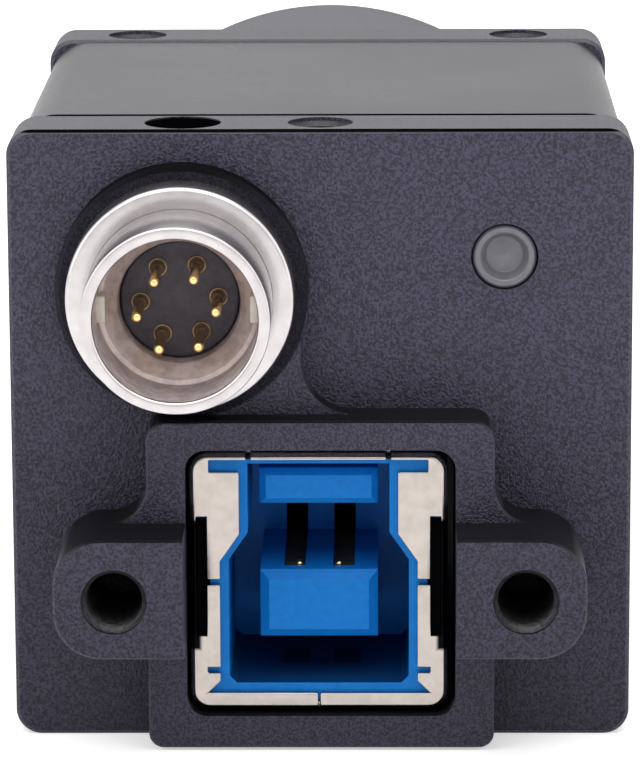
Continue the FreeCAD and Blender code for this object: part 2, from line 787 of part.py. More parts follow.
def data_socket_shell():
    """Sheet metal folded to a square tube, with front flaps that leave the stepped mouth open."""
    body = new_body("data_socket_shell")
    tube = across_axis(body, BOARD_END)
    rounded_rectangle(tube, "socket_shift", SOCKET_Z, "socket_width", "socket_height",
                      "socket_corner")
    pad(body, tube, f"{SOCKET_FRONT} - ({BOARD_END})")
    front = -size(SOCKET_FRONT)
    top = size(f"{SOCKET_Z} + socket_height / 2") - 0.01
    names = edges_where(body.Shape, lambda e, c: abs(c.y - front) < 1e-4 and c.z < top
                        and e.Curve.TypeId == "Part::GeomLine")
    dress(body, "Chamfer", names, "socket_fold")
    inside = across_axis(body, BOARD_END)
    rounded_rectangle(inside, "socket_shift", SOCKET_Z, "socket_width - 2 * socket_wall",
                      "socket_height - 2 * socket_wall", "socket_corner - socket_wall")
    pocket(body, inside, f"{SOCKET_FRONT} - socket_wall - ({BOARD_END})")

    face = f"{SOCKET_FRONT} - socket_wall"
    under_top = "socket_height / 2 - socket_wall"
    side = "socket_width / 2 - socket_corner"
    mouth = across_axis(body, face)
    polygon(mouth, mirrored([
        (beside("mouth_low + mouth_mitre"), above("0 - mouth_floor")),
        (beside("mouth_low"), above("mouth_mitre - mouth_floor")),
        (beside("mouth_low"), above("mouth_waist")),
        (beside("mouth_high"), above("mouth_waist + mouth_slope")),
        (beside("mouth_high"), above("flap_top")),
        (beside(side), above("flap_top")),
        (beside(side), above(under_top)),
    ]))
    pocket(body, mouth, "socket_wall")
    for z in ("upper_notch_z", "lower_notch_z"):
        notches = across_axis(body, face)
        rectangle(notches, "socket_shift", above(z), "2 * (mouth_low + notch_reach)",
                  "notch_height")
        pocket(body, notches, "socket_wall")
    reliefs = across_axis(body, face)
    slits = across_axis(body, f"{SOCKET_FRONT} - slit_depth")
    for way in ("+", "-"):
        x = f"socket_shift {way} (socket_width / 2 - socket_wall - relief_width / 2)"
        rectangle(reliefs, x, above("relief_middle"), "relief_width", "relief_height")
        rectangle(slits, f"socket_shift {way} slit_x", above("socket_height / 2"),
                  "slit_width", "2 * socket_corner")
    pocket(body, reliefs, "socket_wall")
    pocket(body, slits, "slit_depth")
    split = across_axis(body, face)
    rectangle(split, "socket_shift", above("0 - socket_height / 2"), "split_width",
              "socket_height - 2 * mouth_floor")
    pocket(body, split, "socket_wall")
    return body


def data_socket_insulator():
    """The moulded insert: a stepped cavity with a broad tongue and a thinner one above it."""
    body = new_body("data_socket_insulator")
    block = across_axis(body, BOARD_END)
    inset = "2 * (socket_wall + moulding_gap)"
    rounded_rectangle(block, "socket_shift", SOCKET_Z, f"socket_width - {inset}",
                      f"socket_height - {inset}", "socket_corner - socket_wall")
    pad(body, block, f"{MOULDING_FACE} - ({BOARD_END})")
    floor = f"{MOULDING_FACE} - cavity_depth"
    cavity = across_axis(body, floor)
    low, high, foot = "mouth_low - rim_width", "mouth_high - rim_width", "rim_width - mouth_floor"
    polygon(cavity, mirrored([
        (beside(f"{low} - cavity_mitre"), above(foot)),
        (beside(low), above(f"{foot} + cavity_mitre")),
        (beside(low), above("mouth_waist")),
        (beside(high), above("mouth_waist + mouth_slope")),
        (beside(high), above("cavity_top")),
    ]))
    pocket(body, cavity, "cavity_depth")
    for z, height, bevel in (("tongue_z", "tongue_height", "tongue_bevel"),
                             ("shelf_z", "shelf_height", "shelf_bevel")):
        tongue = across_axis(body, floor)
        rectangle(tongue, "socket_shift", above(z), "tongue_width", height)
        pad(body, tongue, "cavity_depth - tongue_sink")
        tip = -size(f"{MOULDING_FACE} - tongue_sink")
        level, reach = size(above(z)), size(height) / 2 + 1e-4
        names = edges_where(body.Shape, lambda e, c: abs(c.y - tip) < 1e-4
                            and abs(c.z - level) < reach)
        dress(body, "Chamfer", names, bevel)
    grooves = across_axis(body, BOARD_END)
    for x in ("contact_x", "0 - contact_x"):
        for way in ("+", "-"):
            z = f"tongue_z {way} (tongue_height - groove_depth) / 2"
            rectangle(grooves, beside(x), above(z), GROOVE_WIDTH, "groove_depth")
    for n in range(-2, 3):
        z = "shelf_z - shelf_height / 2 + moulding_gap + contact_thick / 2"
        rectangle(grooves, beside(f"{n} * fast_pitch"), above(z), "fast_width + 2 * moulding_gap",
                  "contact_thick + 2 * moulding_gap")
    pocket(body, grooves, f"{CONTACT_TIP} + moulding_gap - ({BOARD_END})")
    back = across_axis(body, f"{floor} - back_slot_depth")
    for x in ("contact_x", "0 - contact_x"):
        z = "tongue_z + (tongue_height + back_slot_height) / 2"
        rectangle(back, beside(x), above(z), GROOVE_WIDTH, "back_slot_height")
    pocket(body, back, "back_slot_depth")
    return body


def data_contacts():
    """Four broad contacts, two on each side of the broad tongue, with tails at the last board."""
    body = new_body("data_contacts")
    strips = across_axis(body, BOARD_END)
    for x in ("contact_x", "0 - contact_x"):
        for way in ("+", "-"):
            z = f"tongue_z {way} ((tongue_height + contact_thick) / 2 - groove_depth)"
            rectangle(strips, beside(x), above(z), "contact_width", "contact_thick")
    pad(body, strips, f"{CONTACT_TIP} - ({BOARD_END})")
    return body


def fast_contacts():
    """Five narrow contacts under the upper tongue."""
    body = new_body("fast_contacts")
    strips = across_axis(body, BOARD_END)
    z = "shelf_z - shelf_height / 2 + moulding_gap + contact_thick / 2"
    for n in range(-2, 3):
        rectangle(strips, beside(f"{n} * fast_pitch"), above(z), "fast_width", "contact_thick")
    pad(body, strips, f"{CONTACT_TIP} - ({BOARD_END})")
    return body


# ---------------------------------------------------------------- round socket
def round_socket_shell():
    """The turned shell: a flange inside the rear block and a barrel that stands out of it."""
    body = new_body("round_socket_shell")
    tip, tail = f"{REAR_FACE} + barrel_reach", f"{FLANGE_FRONT} - shell_tail"
    outer, bore, core = "barrel_dia / 2", f"({BARREL_BORE}) / 2", "insulator_dia / 2 + thread_gap"
    turned(body, "boss_x", "boss_z", [
        (core, tail),
        (outer, tail),
        (outer, FLANGE_FRONT),
        (f"({FLANGE_DIA}) / 2", FLANGE_FRONT),
        (f"({FLANGE_DIA}) / 2", COVER_BACK),
        (outer, COVER_BACK),
        (outer, f"{tip} - barrel_break"),
        (f"{outer} - barrel_break", tip),
        (bore, tip),
        (bore, f"{tip} - barrel_lead"),
        (f"({BARREL_LEDGE}) / 2", f"{tip} - barrel_lead"),
        (core, f"{INSULATOR_FACE} + cone_foot"),
    ])
    return body


def round_socket_nut():
    body = new_body("round_socket_nut")
    start = f"{REAR_FACE} + boss_step"
    end = f"{start} + nut_height"
    hole, rim = "barrel_dia / 2 + thread_gap", f"({NUT_DIA}) / 2"
    turned(body, "boss_x", "boss_z", [
        (hole, start),
        (rim, start),
        (rim, f"{end} - nut_break"),
        (f"{rim} - nut_break", end),
        (hole, end),
    ])
    return body


def pin_points():
    """Where the six pins stand."""
    turns = [f"pin_turn + {60 * n}" for n in range(6)]
    return [(f"boss_x + pin_ring * cos({turn})", f"boss_z + pin_ring * sin({turn})") for turn in turns]


def round_socket_insulator():
    body = new_body("round_socket_insulator")
    start = f"{FLANGE_FRONT} - shell_tail - bore_relief"
    sketch = circles_at(body, start, [("boss_x", "boss_z")], "insulator_dia")
    pad(body, sketch, f"{INSULATOR_FACE} - ({start})")
    holes = circles_at(body, start, pin_points(), "pin_dia + 2 * pin_gap")
    pocket(body, holes, f"{INSULATOR_FACE} - ({start})")
    return body


def round_socket_pins():
    """Six pins from the last board, through the insulator, to the open socket."""
    body = new_body("round_socket_pins")
    shanks = circles_at(body, BOARD_END, pin_points(), "pin_dia")
    pad(body, shanks, f"{INSULATOR_FACE} + pin_length - ({BOARD_END})")
    return body


def socket_lock_screw():
    """The headless screw above the round socket, which keeps its shell from turning."""
    body = new_body("socket_lock_screw")
    foot, head = "boss_z + barrel_dia / 2", "body_height / 2 - lock_screw_sink"
    y = f"0 - ({REAR_FACE} - rear_tap_back)"
    shank = sketch_on(body, "XY_Plane", foot)
    circle(shank, "boss_x", y, "lock_screw_dia - 2 * fit_gap")
    pad(body, shank, f"{head} - ({foot})")
    key = sketch_on(body, "XY_Plane", head)
    hexagon(key, "boss_x", y, "lock_drive")
    pocket(body, key, "lock_drive_depth", False)
    return body


# ---------------------------------------------------------------- status light
def status_light_pipe():
    body = new_body("status_light_pipe")
    start, front = f"{BOARD_END} + lamp_height + lamp_gap", f"{REAR_FACE} - light_sink"
    collar = f"{COVER_BACK} - light_collar_height"
    side = "light_dia / 2"
    turned(body, "light_x", "light_z", [
        ("0", start),
        (side, start),
        (side, collar),
        (f"{side} + light_collar", collar),
        (f"{side} + light_collar", COVER_BACK),
        (side, COVER_BACK),
        (side, front),
        ("0", front),
    ])
    return body


def status_lamp():
    return box("status_lamp", "light_x", "light_z", BOARD_END, "lamp_size", "lamp_size",
               "lamp_height")


# ---------------------------------------------------------------- the camera
def build_all():
    pieces = [lens_mount_block(), wrap_cover(), rear_block(), tie_screws()]
    pieces += [filter_glass(), filter_retainer()]
    pieces += [sensor_seal(), sensor_window(), sensor_package(), sensor_die()]
    boards = [("sensor_board", BOARD_1), ("processor_board", BOARD_2), ("interface_board", BOARD_3)]
    pieces += [board(label, depth) for label, depth in boards]
    gaps = [("front", f"{BOARD_1} + board_thick", f"({FRONT_SPACER})"),
            ("rear", f"{BOARD_2} + board_thick", "rear_spacer")]
    for side, depth, height in gaps:
        pieces.append(hexagons(f"{side}_spacers", depth, "spacer_flats", height))
        pieces += board_connector(f"{side}_link", depth, height,
                                  f"{side}_link_rise - ({BOARD_HEIGHT}) / 2")
    pieces.append(hexagons("stack_nuts", BOARD_END, "nut_flats", "nut_thick"))
    pieces += chips()
    pieces += [data_socket_shell(), data_socket_insulator(), data_contacts(), fast_contacts()]
    pieces += [round_socket_shell(), round_socket_nut(), round_socket_insulator(),
               round_socket_pins(), socket_lock_screw()]
    pieces += [status_light_pipe(), status_lamp()]
    return pieces


def check(pieces):
    """Stops where an object failed, or a piece is empty or not valid."""
    doc.recompute()
    for item in doc.Objects:
        if "Invalid" in item.State or "Error" in item.State:
            raise RuntimeError(f"{item.Name} failed to compute")
    for piece in pieces:
        if piece.Shape.isNull() or not piece.Shape.isValid() or not piece.Shape.Solids:
            raise RuntimeError(f"{piece.Label} has no valid solid")


def export(pieces):
    os.makedirs("parts", exist_ok=True)
    for piece in pieces:
        piece.Shape.exportStep(f"parts/{piece.Label}.step")


camera = build_all()
check(camera)
export(camera)
print(f"{len(camera)} pieces, {sum(len(piece.Shape.Solids) for piece in camera)} solids")
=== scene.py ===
# %% [markdown]
# A machine vision camera, seen from its rear panel.
#
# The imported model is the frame: every piece here sits where that model says, in metres. This
# script gives its surfaces their finish, and models again the pieces whose edges, folds and
# threads are too fine for the frame. The first cell loads the frame and keeps its box.

# %% Load the frame
import math

import bmesh
import bpy
from mathutils import Matrix, Vector


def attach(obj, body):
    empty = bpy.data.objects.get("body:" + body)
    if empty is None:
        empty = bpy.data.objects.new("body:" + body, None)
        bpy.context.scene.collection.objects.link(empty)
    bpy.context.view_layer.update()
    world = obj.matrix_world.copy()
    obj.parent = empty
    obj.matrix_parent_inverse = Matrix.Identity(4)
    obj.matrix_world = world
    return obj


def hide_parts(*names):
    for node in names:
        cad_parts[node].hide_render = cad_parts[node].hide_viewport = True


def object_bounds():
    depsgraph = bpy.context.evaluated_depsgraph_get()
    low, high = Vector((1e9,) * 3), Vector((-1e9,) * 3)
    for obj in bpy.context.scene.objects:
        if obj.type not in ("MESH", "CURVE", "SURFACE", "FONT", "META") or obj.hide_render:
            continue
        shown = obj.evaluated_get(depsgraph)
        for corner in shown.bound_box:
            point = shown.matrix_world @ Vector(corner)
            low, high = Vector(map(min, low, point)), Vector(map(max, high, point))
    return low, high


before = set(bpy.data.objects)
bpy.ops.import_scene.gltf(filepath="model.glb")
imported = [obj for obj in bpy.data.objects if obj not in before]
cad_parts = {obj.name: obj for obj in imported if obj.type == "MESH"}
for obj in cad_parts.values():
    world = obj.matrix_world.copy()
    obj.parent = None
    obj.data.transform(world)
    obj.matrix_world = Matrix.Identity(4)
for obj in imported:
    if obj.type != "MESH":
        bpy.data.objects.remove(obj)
frame_box = [list(corner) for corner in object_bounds()]
MM = 0.001
print("nodes:", len(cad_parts), "box:", frame_box)

# %% [markdown]
# The camera looks at the rear panel from a little above. A long lens keeps the far end of the
# body almost as large as the near one. The eye's place and its two small turns were worked out
# from the body's edges, so they are written as plain numbers.

# %% Camera
EYE = Vector((3.12, -254.68, 49.01)) * MM
ELEVATION = math.radians(12.465)
YAW = math.radians(-0.860)
ROLL = math.radians(-0.261)


def look_from(eye, elevation, yaw, roll, focal):
    """A camera at eye that looks down by elevation, turned by yaw and roll."""
    data = bpy.data.cameras.new("view_camera")
    data.lens = focal
    data.clip_start = 0.01
    data.clip_end = 10
    camera = bpy.data.objects.new("view_camera", data)
    bpy.context.scene.collection.objects.link(camera)
    level = Matrix.Rotation(-yaw, 4, "Z")
    tilt = Matrix.Rotation(math.radians(90) - elevation, 4, "X")
    camera.matrix_world = Matrix.Translation(eye) @ level @ tilt @ Matrix.Rotation(roll, 4, "Z")
    return camera


camera = look_from(EYE, ELEVATION, YAW, ROLL, focal=217.01)
bpy.context.scene.camera = camera
ahead = camera.matrix_world.to_3x3() @ Vector((0, 0, -1))
print("camera looks along", [round(n, 3) for n in ahead])

# %% [markdown]
# Every finish here is one Principled BSDF with a few nodes in front of it. The nodes could be
# placed by hand, but the same few steps come back for each finish, so they are helpers: one
# makes a material, two add nodes, and the last one tells how a ray arrived. A node that reads
# the light path stays in the material, because the export can't read it inside a group.

# %% Helpers for node trees
def new_material(name):
    """A new material whose tree holds one Principled BSDF."""
    material = bpy.data.materials.new(name)
    material.use_nodes = True
    return material, material.node_tree, material.node_tree.nodes["Principled BSDF"]


def add_node(tree, kind, **values):
    """A node of that kind; the values go to its sockets by name."""
    node = tree.nodes.new(kind)
    for name, value in values.items():
        node.inputs[name.replace("_", " ")].default_value = value
    return node


def value_node(tree, operation, first, second):
    """A Math node whose inputs are sockets or plain values."""
    node = tree.nodes.new("ShaderNodeMath")
    node.operation = operation
    for port, given in zip(node.inputs, (first, second)):
        if isinstance(given, (int, float)):
            port.default_value = given
        else:
            tree.links.new(given, port)
    return node.outputs["Value"]


def seen_directly(tree):
    """1 for the lens, a reflection or a clear piece, and 0 for the light a surface scatters."""
    path = tree.nodes.new("ShaderNodeLightPath")
    seen = path.outputs["Is Camera Ray"]
    for other in ("Is Transmission Ray", "Is Glossy Ray"):
        seen = value_node(tree, "MAXIMUM", seen, path.outputs[other])
    return seen


print("helpers:", [helper.__name__ for helper in (new_material, add_node, value_node,
                                                 seen_directly)])

# %% [markdown]
# The object stands on a pale sheet that curves up behind it, so that no line shows where the
# floor ends. A plane and a wall would meet in a corner; one curved profile, drawn out sideways,
# gives the whole sheet. It glows a little for the lens and for reflections, which keeps it
# white there and adds no scattered light to the part.

# %% Floor
FLOOR_Z = frame_box[0][2]
SET_WHITE = (0.93, 0.93, 0.93, 1.0)


def sweep_floor(width, front, back, height, radius):
    """A floor that turns up into a backdrop along one large curve."""
    mesh = bpy.data.meshes.new("floor")
    shape = bmesh.new()
    steps = 12
    profile = [(front, 0.0)]
    for n in range(steps + 1):
        turn = math.radians(90) * n / steps
        profile.append((back - radius + radius * math.sin(turn), radius - radius * math.cos(turn)))
    profile.append((back, height))
    corners = [shape.verts.new((-width / 2, y, FLOOR_Z + z)) for y, z in profile]
    edges = [shape.edges.new(pair) for pair in zip(corners, corners[1:])]
    grown = bmesh.ops.extrude_edge_only(shape, edges=edges)
    moved = [part for part in grown["geom"] if isinstance(part, bmesh.types.BMVert)]
    bmesh.ops.translate(shape, verts=moved, vec=(width, 0, 0))
    bmesh.ops.recalc_face_normals(shape, faces=shape.faces)
    shape.to_mesh(mesh)
    shape.free()
    mesh.shade_smooth()
    floor = bpy.data.objects.new("floor", mesh)
    bpy.context.scene.collection.objects.link(floor)
    return floor


floor = sweep_floor(width=3.0, front=-1.2, back=1.0, height=1.6, radius=0.35)
material, tree, finish = new_material("set_white")
finish.inputs["Base Color"].default_value = SET_WHITE
finish.inputs["Roughness"].default_value = 0.9
finish.inputs["Specular IOR Level"].default_value = 0.1
finish.inputs["Emission Color"].default_value = SET_WHITE
glow = add_node(tree, "ShaderNodeMapRange", To_Min=0.0, To_Max=0.5)
tree.links.new(seen_directly(tree), glow.inputs["Value"])
tree.links.new(glow.outputs["Result"], finish.inputs["Emission Strength"])
floor.data.materials.append(material)
print("floor faces:", len(floor.data.polygons), "at z", round(FLOOR_Z, 4))

# %% [markdown]
# The world is white where the lens, a reflection or a clear piece sees it, and dimmer where it
# only gives light, so that the black housing keeps its depth while the metal still mirrors a
# bright room. With one strength for both, either the housing is lit too much or the background
# turns grey.

# %% World
world = bpy.data.worlds.new("studio")
bpy.context.scene.world = world
world.use_nodes = True
sky = world.node_tree
background = sky.nodes["Background"]
background.inputs["Color"].default_value = (1.0, 1.0, 1.0, 1.0)
level = add_node(sky, "ShaderNodeMapRange", To_Min=0.30, To_Max=1.0)
sky.links.new(seen_directly(sky), level.inputs["Value"])
sky.links.new(level.outputs["Result"], background.inputs["Strength"])
print("world strength from", level.inputs["To Min"].default_value, "to",
      level.inputs["To Max"].default_value)

# %% [markdown]
# Four large lamps give soft shadows: a broad one above, one at each side, and a weak one above
# and in front of the rear panel. Small lamps would give shadows with hard edges.

# %% Lamps
def soft_lamp(name, place, width, height, watts):
    """A large rectangular lamp that faces the middle of the part."""
    data = bpy.data.lights.new(name, "AREA")
    data.shape = "RECTANGLE"
    data.size, data.size_y = width, height
    data.energy = watts
    lamp = bpy.data.objects.new(name, data)
    bpy.context.scene.collection.objects.link(lamp)
    place = Vector(place)
    turn = (MIDDLE - place).to_track_quat("-Z", "Y").to_matrix().to_4x4()
    lamp.matrix_world = Matrix.Translation(place) @ turn


MIDDLE = Vector((0.0, -0.030, 0.0))
soft_lamp("top_lamp", (0.0, 0.05, 0.70), width=0.9, height=0.9, watts=3.2)
soft_lamp("left_lamp", (-0.60, -0.30, 0.30), width=0.6, height=0.6, watts=1.7)
soft_lamp("right_lamp", (0.60, -0.30, 0.25), width=0.6, height=0.6, watts=1.0)
soft_lamp("front_lamp", (0.0, -0.20, 0.30), width=0.5, height=0.3, watts=0.7)

# %% [markdown]
# A blasted and anodised surface is not one flat black: it is covered in grains of a tenth of a
# millimetre and less that catch the light each in its own way, over slow, faint clouds. Both
# are wanted on several finishes, so they are one node group with its own inputs. A picture of
# such a surface would need unwrapping, and would show its own limits close up.

# %% Shared effect: grain
def make_grain_group():
    """Fine grains and slow clouds over any surface, as two values around a half."""
    group = bpy.data.node_groups.new("grain", "ShaderNodeTree")
    ports = group.interface
    for name, value in (("Grain Size", 3500.0), ("Cloud Size", 60.0), ("Contrast", 0.5)):
        port = ports.new_socket(name, in_out="INPUT", socket_type="NodeSocketFloat")
        port.default_value = value
    for name in ("Grain", "Cloud"):
        ports.new_socket(name, in_out="OUTPUT", socket_type="NodeSocketFloat")
    start = group.nodes.new("NodeGroupInput")
    end = group.nodes.new("NodeGroupOutput")
    place = group.nodes.new("ShaderNodeTexCoord")
    fine = add_node(group, "ShaderNodeTexNoise", Detail=2.0, Roughness=0.6)
    slow = add_node(group, "ShaderNodeTexNoise", Detail=3.0, Roughness=0.5)
    for noise, size in ((fine, "Grain Size"), (slow, "Cloud Size")):
        group.links.new(place.outputs["Object"], noise.inputs["Vector"])
        group.links.new(start.outputs[size], noise.inputs["Scale"])
    spread = add_node(group, "ShaderNodeMapRange", From_Min=0.3, From_Max=0.7)
    group.links.new(fine.outputs["Fac"], spread.inputs["Value"])
    for operation, port in (("SUBTRACT", "To Min"), ("ADD", "To Max")):
        limit = value_node(group, operation, 0.5, start.outputs["Contrast"])
        group.links.new(limit, spread.inputs[port])
    group.links.new(spread.outputs["Result"], end.inputs["Grain"])
    group.links.new(slow.outputs["Fac"], end.inputs["Cloud"])
    return group


GRAIN = make_grain_group()
print("grain group sockets:", [item.name for item in GRAIN.interface.items_tree])

# %% [markdown]
# Each finish mixes a darker and a lighter colour by the grain, lets the slow cloud vary its
# gloss, and uses the grain again as a very low bump. A bump is enough here: real grains would
# cost millions of faces. The two blocks are taken as blasted and anodised, so their grain is
# strong, and the sleeve as coated, so its grain hardly shows.

# %% Grained finishes
def grained(name, dark, light, roughness, grain_size, contrast, bump, metallic=0.0, shine=0.5):
    """A finish whose colour and gloss vary with the grain, with a fine bump."""
    material, tree, finish = new_material(name)
    grain = tree.nodes.new("ShaderNodeGroup")
    grain.node_tree = GRAIN
    grain.inputs["Grain Size"].default_value = grain_size
    grain.inputs["Contrast"].default_value = contrast
    mix = add_node(tree, "ShaderNodeMix")
    mix.data_type = "RGBA"
    mix.inputs[6].default_value = (*dark, 1.0)
    mix.inputs[7].default_value = (*light, 1.0)
    tree.links.new(grain.outputs["Grain"], mix.inputs[0])
    tree.links.new(mix.outputs[2], finish.inputs["Base Color"])
    rough = add_node(tree, "ShaderNodeMapRange", To_Min=roughness - 0.05, To_Max=roughness + 0.05)
    tree.links.new(grain.outputs["Cloud"], rough.inputs["Value"])
    tree.links.new(rough.outputs["Result"], finish.inputs["Roughness"])
    height = add_node(tree, "ShaderNodeBump", Strength=bump, Distance=0.02 * MM)
    tree.links.new(grain.outputs["Grain"], height.inputs["Height"])
    tree.links.new(height.outputs["Normal"], finish.inputs["Normal"])
    finish.inputs["Metallic"].default_value = metallic
    finish.inputs["Specular IOR Level"].default_value = shine
    return material


anodised = grained("anodised_black", (0.004, 0.003, 0.012), (0.050, 0.044, 0.084),
                   roughness=0.45, grain_size=9000.0, contrast=1.1, bump=0.8, shine=0.45)
coated = grained("coated_black", (0.024, 0.023, 0.030), (0.031, 0.030, 0.037),
                 roughness=0.28, grain_size=6000.0, contrast=0.4, bump=0.1, shine=0.10)
print("housing finishes:", anodised.name, coated.name)

# %% [markdown]
# Some places get painted light and shade: a seam, a slot, a rim that stays in shadow. A mask says
# where. It could be painted on a UV map, but a mask by place needs no map and stays sharp at
# any distance. The first one is a box with a soft edge.

# %% Shared effect: box mask
def vector_node(tree, operation, first, second=None):
    """A Vector Math node whose inputs are sockets."""
    node = tree.nodes.new("ShaderNodeVectorMath")
    node.operation = operation
    tree.links.new(first, node.inputs[0])
    if second is not None:
        tree.links.new(second, node.inputs[1])
    return node.outputs["Vector"]


def make_box_mask():
    """1 inside a box and 0 outside it, with a soft edge of a given width."""
    group = bpy.data.node_groups.new("box_mask", "ShaderNodeTree")
    for name in ("Centre", "Half Size"):
        group.interface.new_socket(name, in_out="INPUT", socket_type="NodeSocketVector")
    group.interface.new_socket("Edge", in_out="INPUT", socket_type="NodeSocketFloat")
    group.interface.new_socket("Mask", in_out="OUTPUT", socket_type="NodeSocketFloat")
    start = group.nodes.new("NodeGroupInput")
    end = group.nodes.new("NodeGroupOutput")
    place = group.nodes.new("ShaderNodeTexCoord")
    offset = vector_node(group, "SUBTRACT", place.outputs["Object"], start.outputs["Centre"])
    away = vector_node(group, "SUBTRACT", vector_node(group, "ABSOLUTE", offset),
                       start.outputs["Half Size"])
    parts = group.nodes.new("ShaderNodeSeparateXYZ")
    group.links.new(away, parts.inputs["Vector"])
    most = value_node(group, "MAXIMUM", parts.outputs["X"], parts.outputs["Y"])
    most = value_node(group, "MAXIMUM", most, parts.outputs["Z"])
    fade = add_node(group, "ShaderNodeMapRange", From_Min=0.0, To_Min=1.0, To_Max=0.0)
    group.links.new(most, fade.inputs["Value"])
    group.links.new(start.outputs["Edge"], fade.inputs["From Max"])
    group.links.new(fade.outputs["Result"], end.inputs["Mask"])
    return group


BOX_MASK = make_box_mask()
print("box mask nodes:", len(BOX_MASK.nodes))

# %% [markdown]
# The boss round the turned socket lies in shadow, which is painted here, and a box would not fit
# it. A round mask measures the distance from an axis along Y and stops at a plane, so that it
# touches what stands out of the panel and leaves the panel itself alone.

# %% Shared effect: round mask
def make_round_mask():
    """1 within a radius of an axis along Y and beyond a plane, 0 elsewhere."""
    group = bpy.data.node_groups.new("round_mask", "ShaderNodeTree")
    group.interface.new_socket("Centre", in_out="INPUT", socket_type="NodeSocketVector")
    for name in ("Radius", "Beyond", "Edge"):
        group.interface.new_socket(name, in_out="INPUT", socket_type="NodeSocketFloat")
    group.interface.new_socket("Mask", in_out="OUTPUT", socket_type="NodeSocketFloat")
    start = group.nodes.new("NodeGroupInput")
    end = group.nodes.new("NodeGroupOutput")
    place = group.nodes.new("ShaderNodeTexCoord")
    parts = group.nodes.new("ShaderNodeSeparateXYZ")
    offset = vector_node(group, "SUBTRACT", place.outputs["Object"], start.outputs["Centre"])
    group.links.new(offset, parts.inputs["Vector"])
    across = value_node(group, "MULTIPLY", parts.outputs["X"], parts.outputs["X"])
    up = value_node(group, "MULTIPLY", parts.outputs["Z"], parts.outputs["Z"])
    reach = value_node(group, "SQRT", value_node(group, "ADD", across, up), 0.0)
    over = value_node(group, "SUBTRACT", reach, start.outputs["Radius"])
    fade = add_node(group, "ShaderNodeMapRange", From_Min=0.0, To_Min=1.0, To_Max=0.0)
    group.links.new(over, fade.inputs["Value"])
    group.links.new(start.outputs["Edge"], fade.inputs["From Max"])
    parts = group.nodes.new("ShaderNodeSeparateXYZ")
    group.links.new(place.outputs["Object"], parts.inputs["Vector"])
    beyond = value_node(group, "LESS_THAN", parts.outputs["Y"], start.outputs["Beyond"])
    both = value_node(group, "MULTIPLY", fade.outputs["Result"], beyond)
    group.links.new(both, end.inputs["Mask"])
    return group


ROUND_MASK = make_round_mask()
print("round mask nodes:", len(ROUND_MASK.nodes))

# %% [markdown]
# Walls that look up get a painted sheen on the body's top, and painted shade on what stands out
# of the panel. Each wall could have a box of its own, but a mask that reads the surface's
# direction finds them all, rounded corners too.

# %% Shared effect: upward mask
def make_upward_mask():
    """1 where the surface looks up beyond a plane across Y, 0 elsewhere."""
    group = bpy.data.node_groups.new("upward_mask", "ShaderNodeTree")
    group.interface.new_socket("Beyond", in_out="INPUT", socket_type="NodeSocketFloat")
    group.interface.new_socket("Mask", in_out="OUTPUT", socket_type="NodeSocketFloat")
    start = group.nodes.new("NodeGroupInput")
    end = group.nodes.new("NodeGroupOutput")
    place = group.nodes.new("ShaderNodeTexCoord")
    facing = group.nodes.new("ShaderNodeSeparateXYZ")
    group.links.new(place.outputs["Normal"], facing.inputs["Vector"])
    spot = group.nodes.new("ShaderNodeSeparateXYZ")
    group.links.new(place.outputs["Object"], spot.inputs["Vector"])
    up = add_node(group, "ShaderNodeMapRange", From_Min=0.25, From_Max=0.7)
    group.links.new(facing.outputs["Z"], up.inputs["Value"])
    beyond = value_node(group, "LESS_THAN", spot.outputs["Y"], start.outputs["Beyond"])
    both = value_node(group, "MULTIPLY", up.outputs["Result"], beyond)
    group.links.new(both, end.inputs["Mask"])
    return group


UPWARD_MASK = make_upward_mask()
print("upward mask nodes:", len(UPWARD_MASK.nodes))

# %% [markdown]
# Painted light and shade are tints laid over what a material already has, as a glaze is, so
# several can be stacked on one finish. A material for each painted place would do as well, but
# only along the faces' edges. Painted shade takes away the shine too, because a deep slot shows no
# highlight.

# %% Painting light and shade
def paint_light_and_shade(material, group, colour, strength=1.0, dull=True, **settings):
    """Paints a highlight or painted shade over a material's own colour where a mask group says so,
    and takes away its shine there if it is to look dull. Lengths are in mm."""
    tree = material.node_tree
    port = tree.nodes["Principled BSDF"].inputs["Base Color"]
    before = port.links[0].from_socket
    mask = tree.nodes.new("ShaderNodeGroup")
    mask.node_tree = group
    for name, given in settings.items():
        given = Vector(given) * MM if isinstance(given, tuple) else given * MM
        mask.inputs[name.replace("_", " ")].default_value = given
    mix = tree.nodes.new("ShaderNodeMix")
    mix.data_type = "RGBA"
    mix.inputs[7].default_value = (*colour, 1.0)
    share = value_node(tree, "MULTIPLY", mask.outputs["Mask"], strength)
    tree.links.new(share, mix.inputs[0])
    tree.links.new(before, mix.inputs[6])
    tree.links.new(mix.outputs[2], port)
    if dull:
        shine = tree.nodes["Principled BSDF"].inputs["Specular IOR Level"]
        level = shine.links[0].from_socket if shine.links else shine.default_value
        kept = value_node(tree, "SUBTRACT", 1.0, share)
        tree.links.new(value_node(tree, "MULTIPLY", kept, level), shine)


print("masks:", [group.name for group in (BOX_MASK, ROUND_MASK, UPWARD_MASK)])

# %% [markdown]
# The frame's own pieces are loose triangles with flat faces. A small modifier made of geometry
# nodes merges them and shades every bend below thirty degrees smooth, so that a barrel looks
# turned while a chamfer stays crisp. The mesh under the modifier is left as it is.

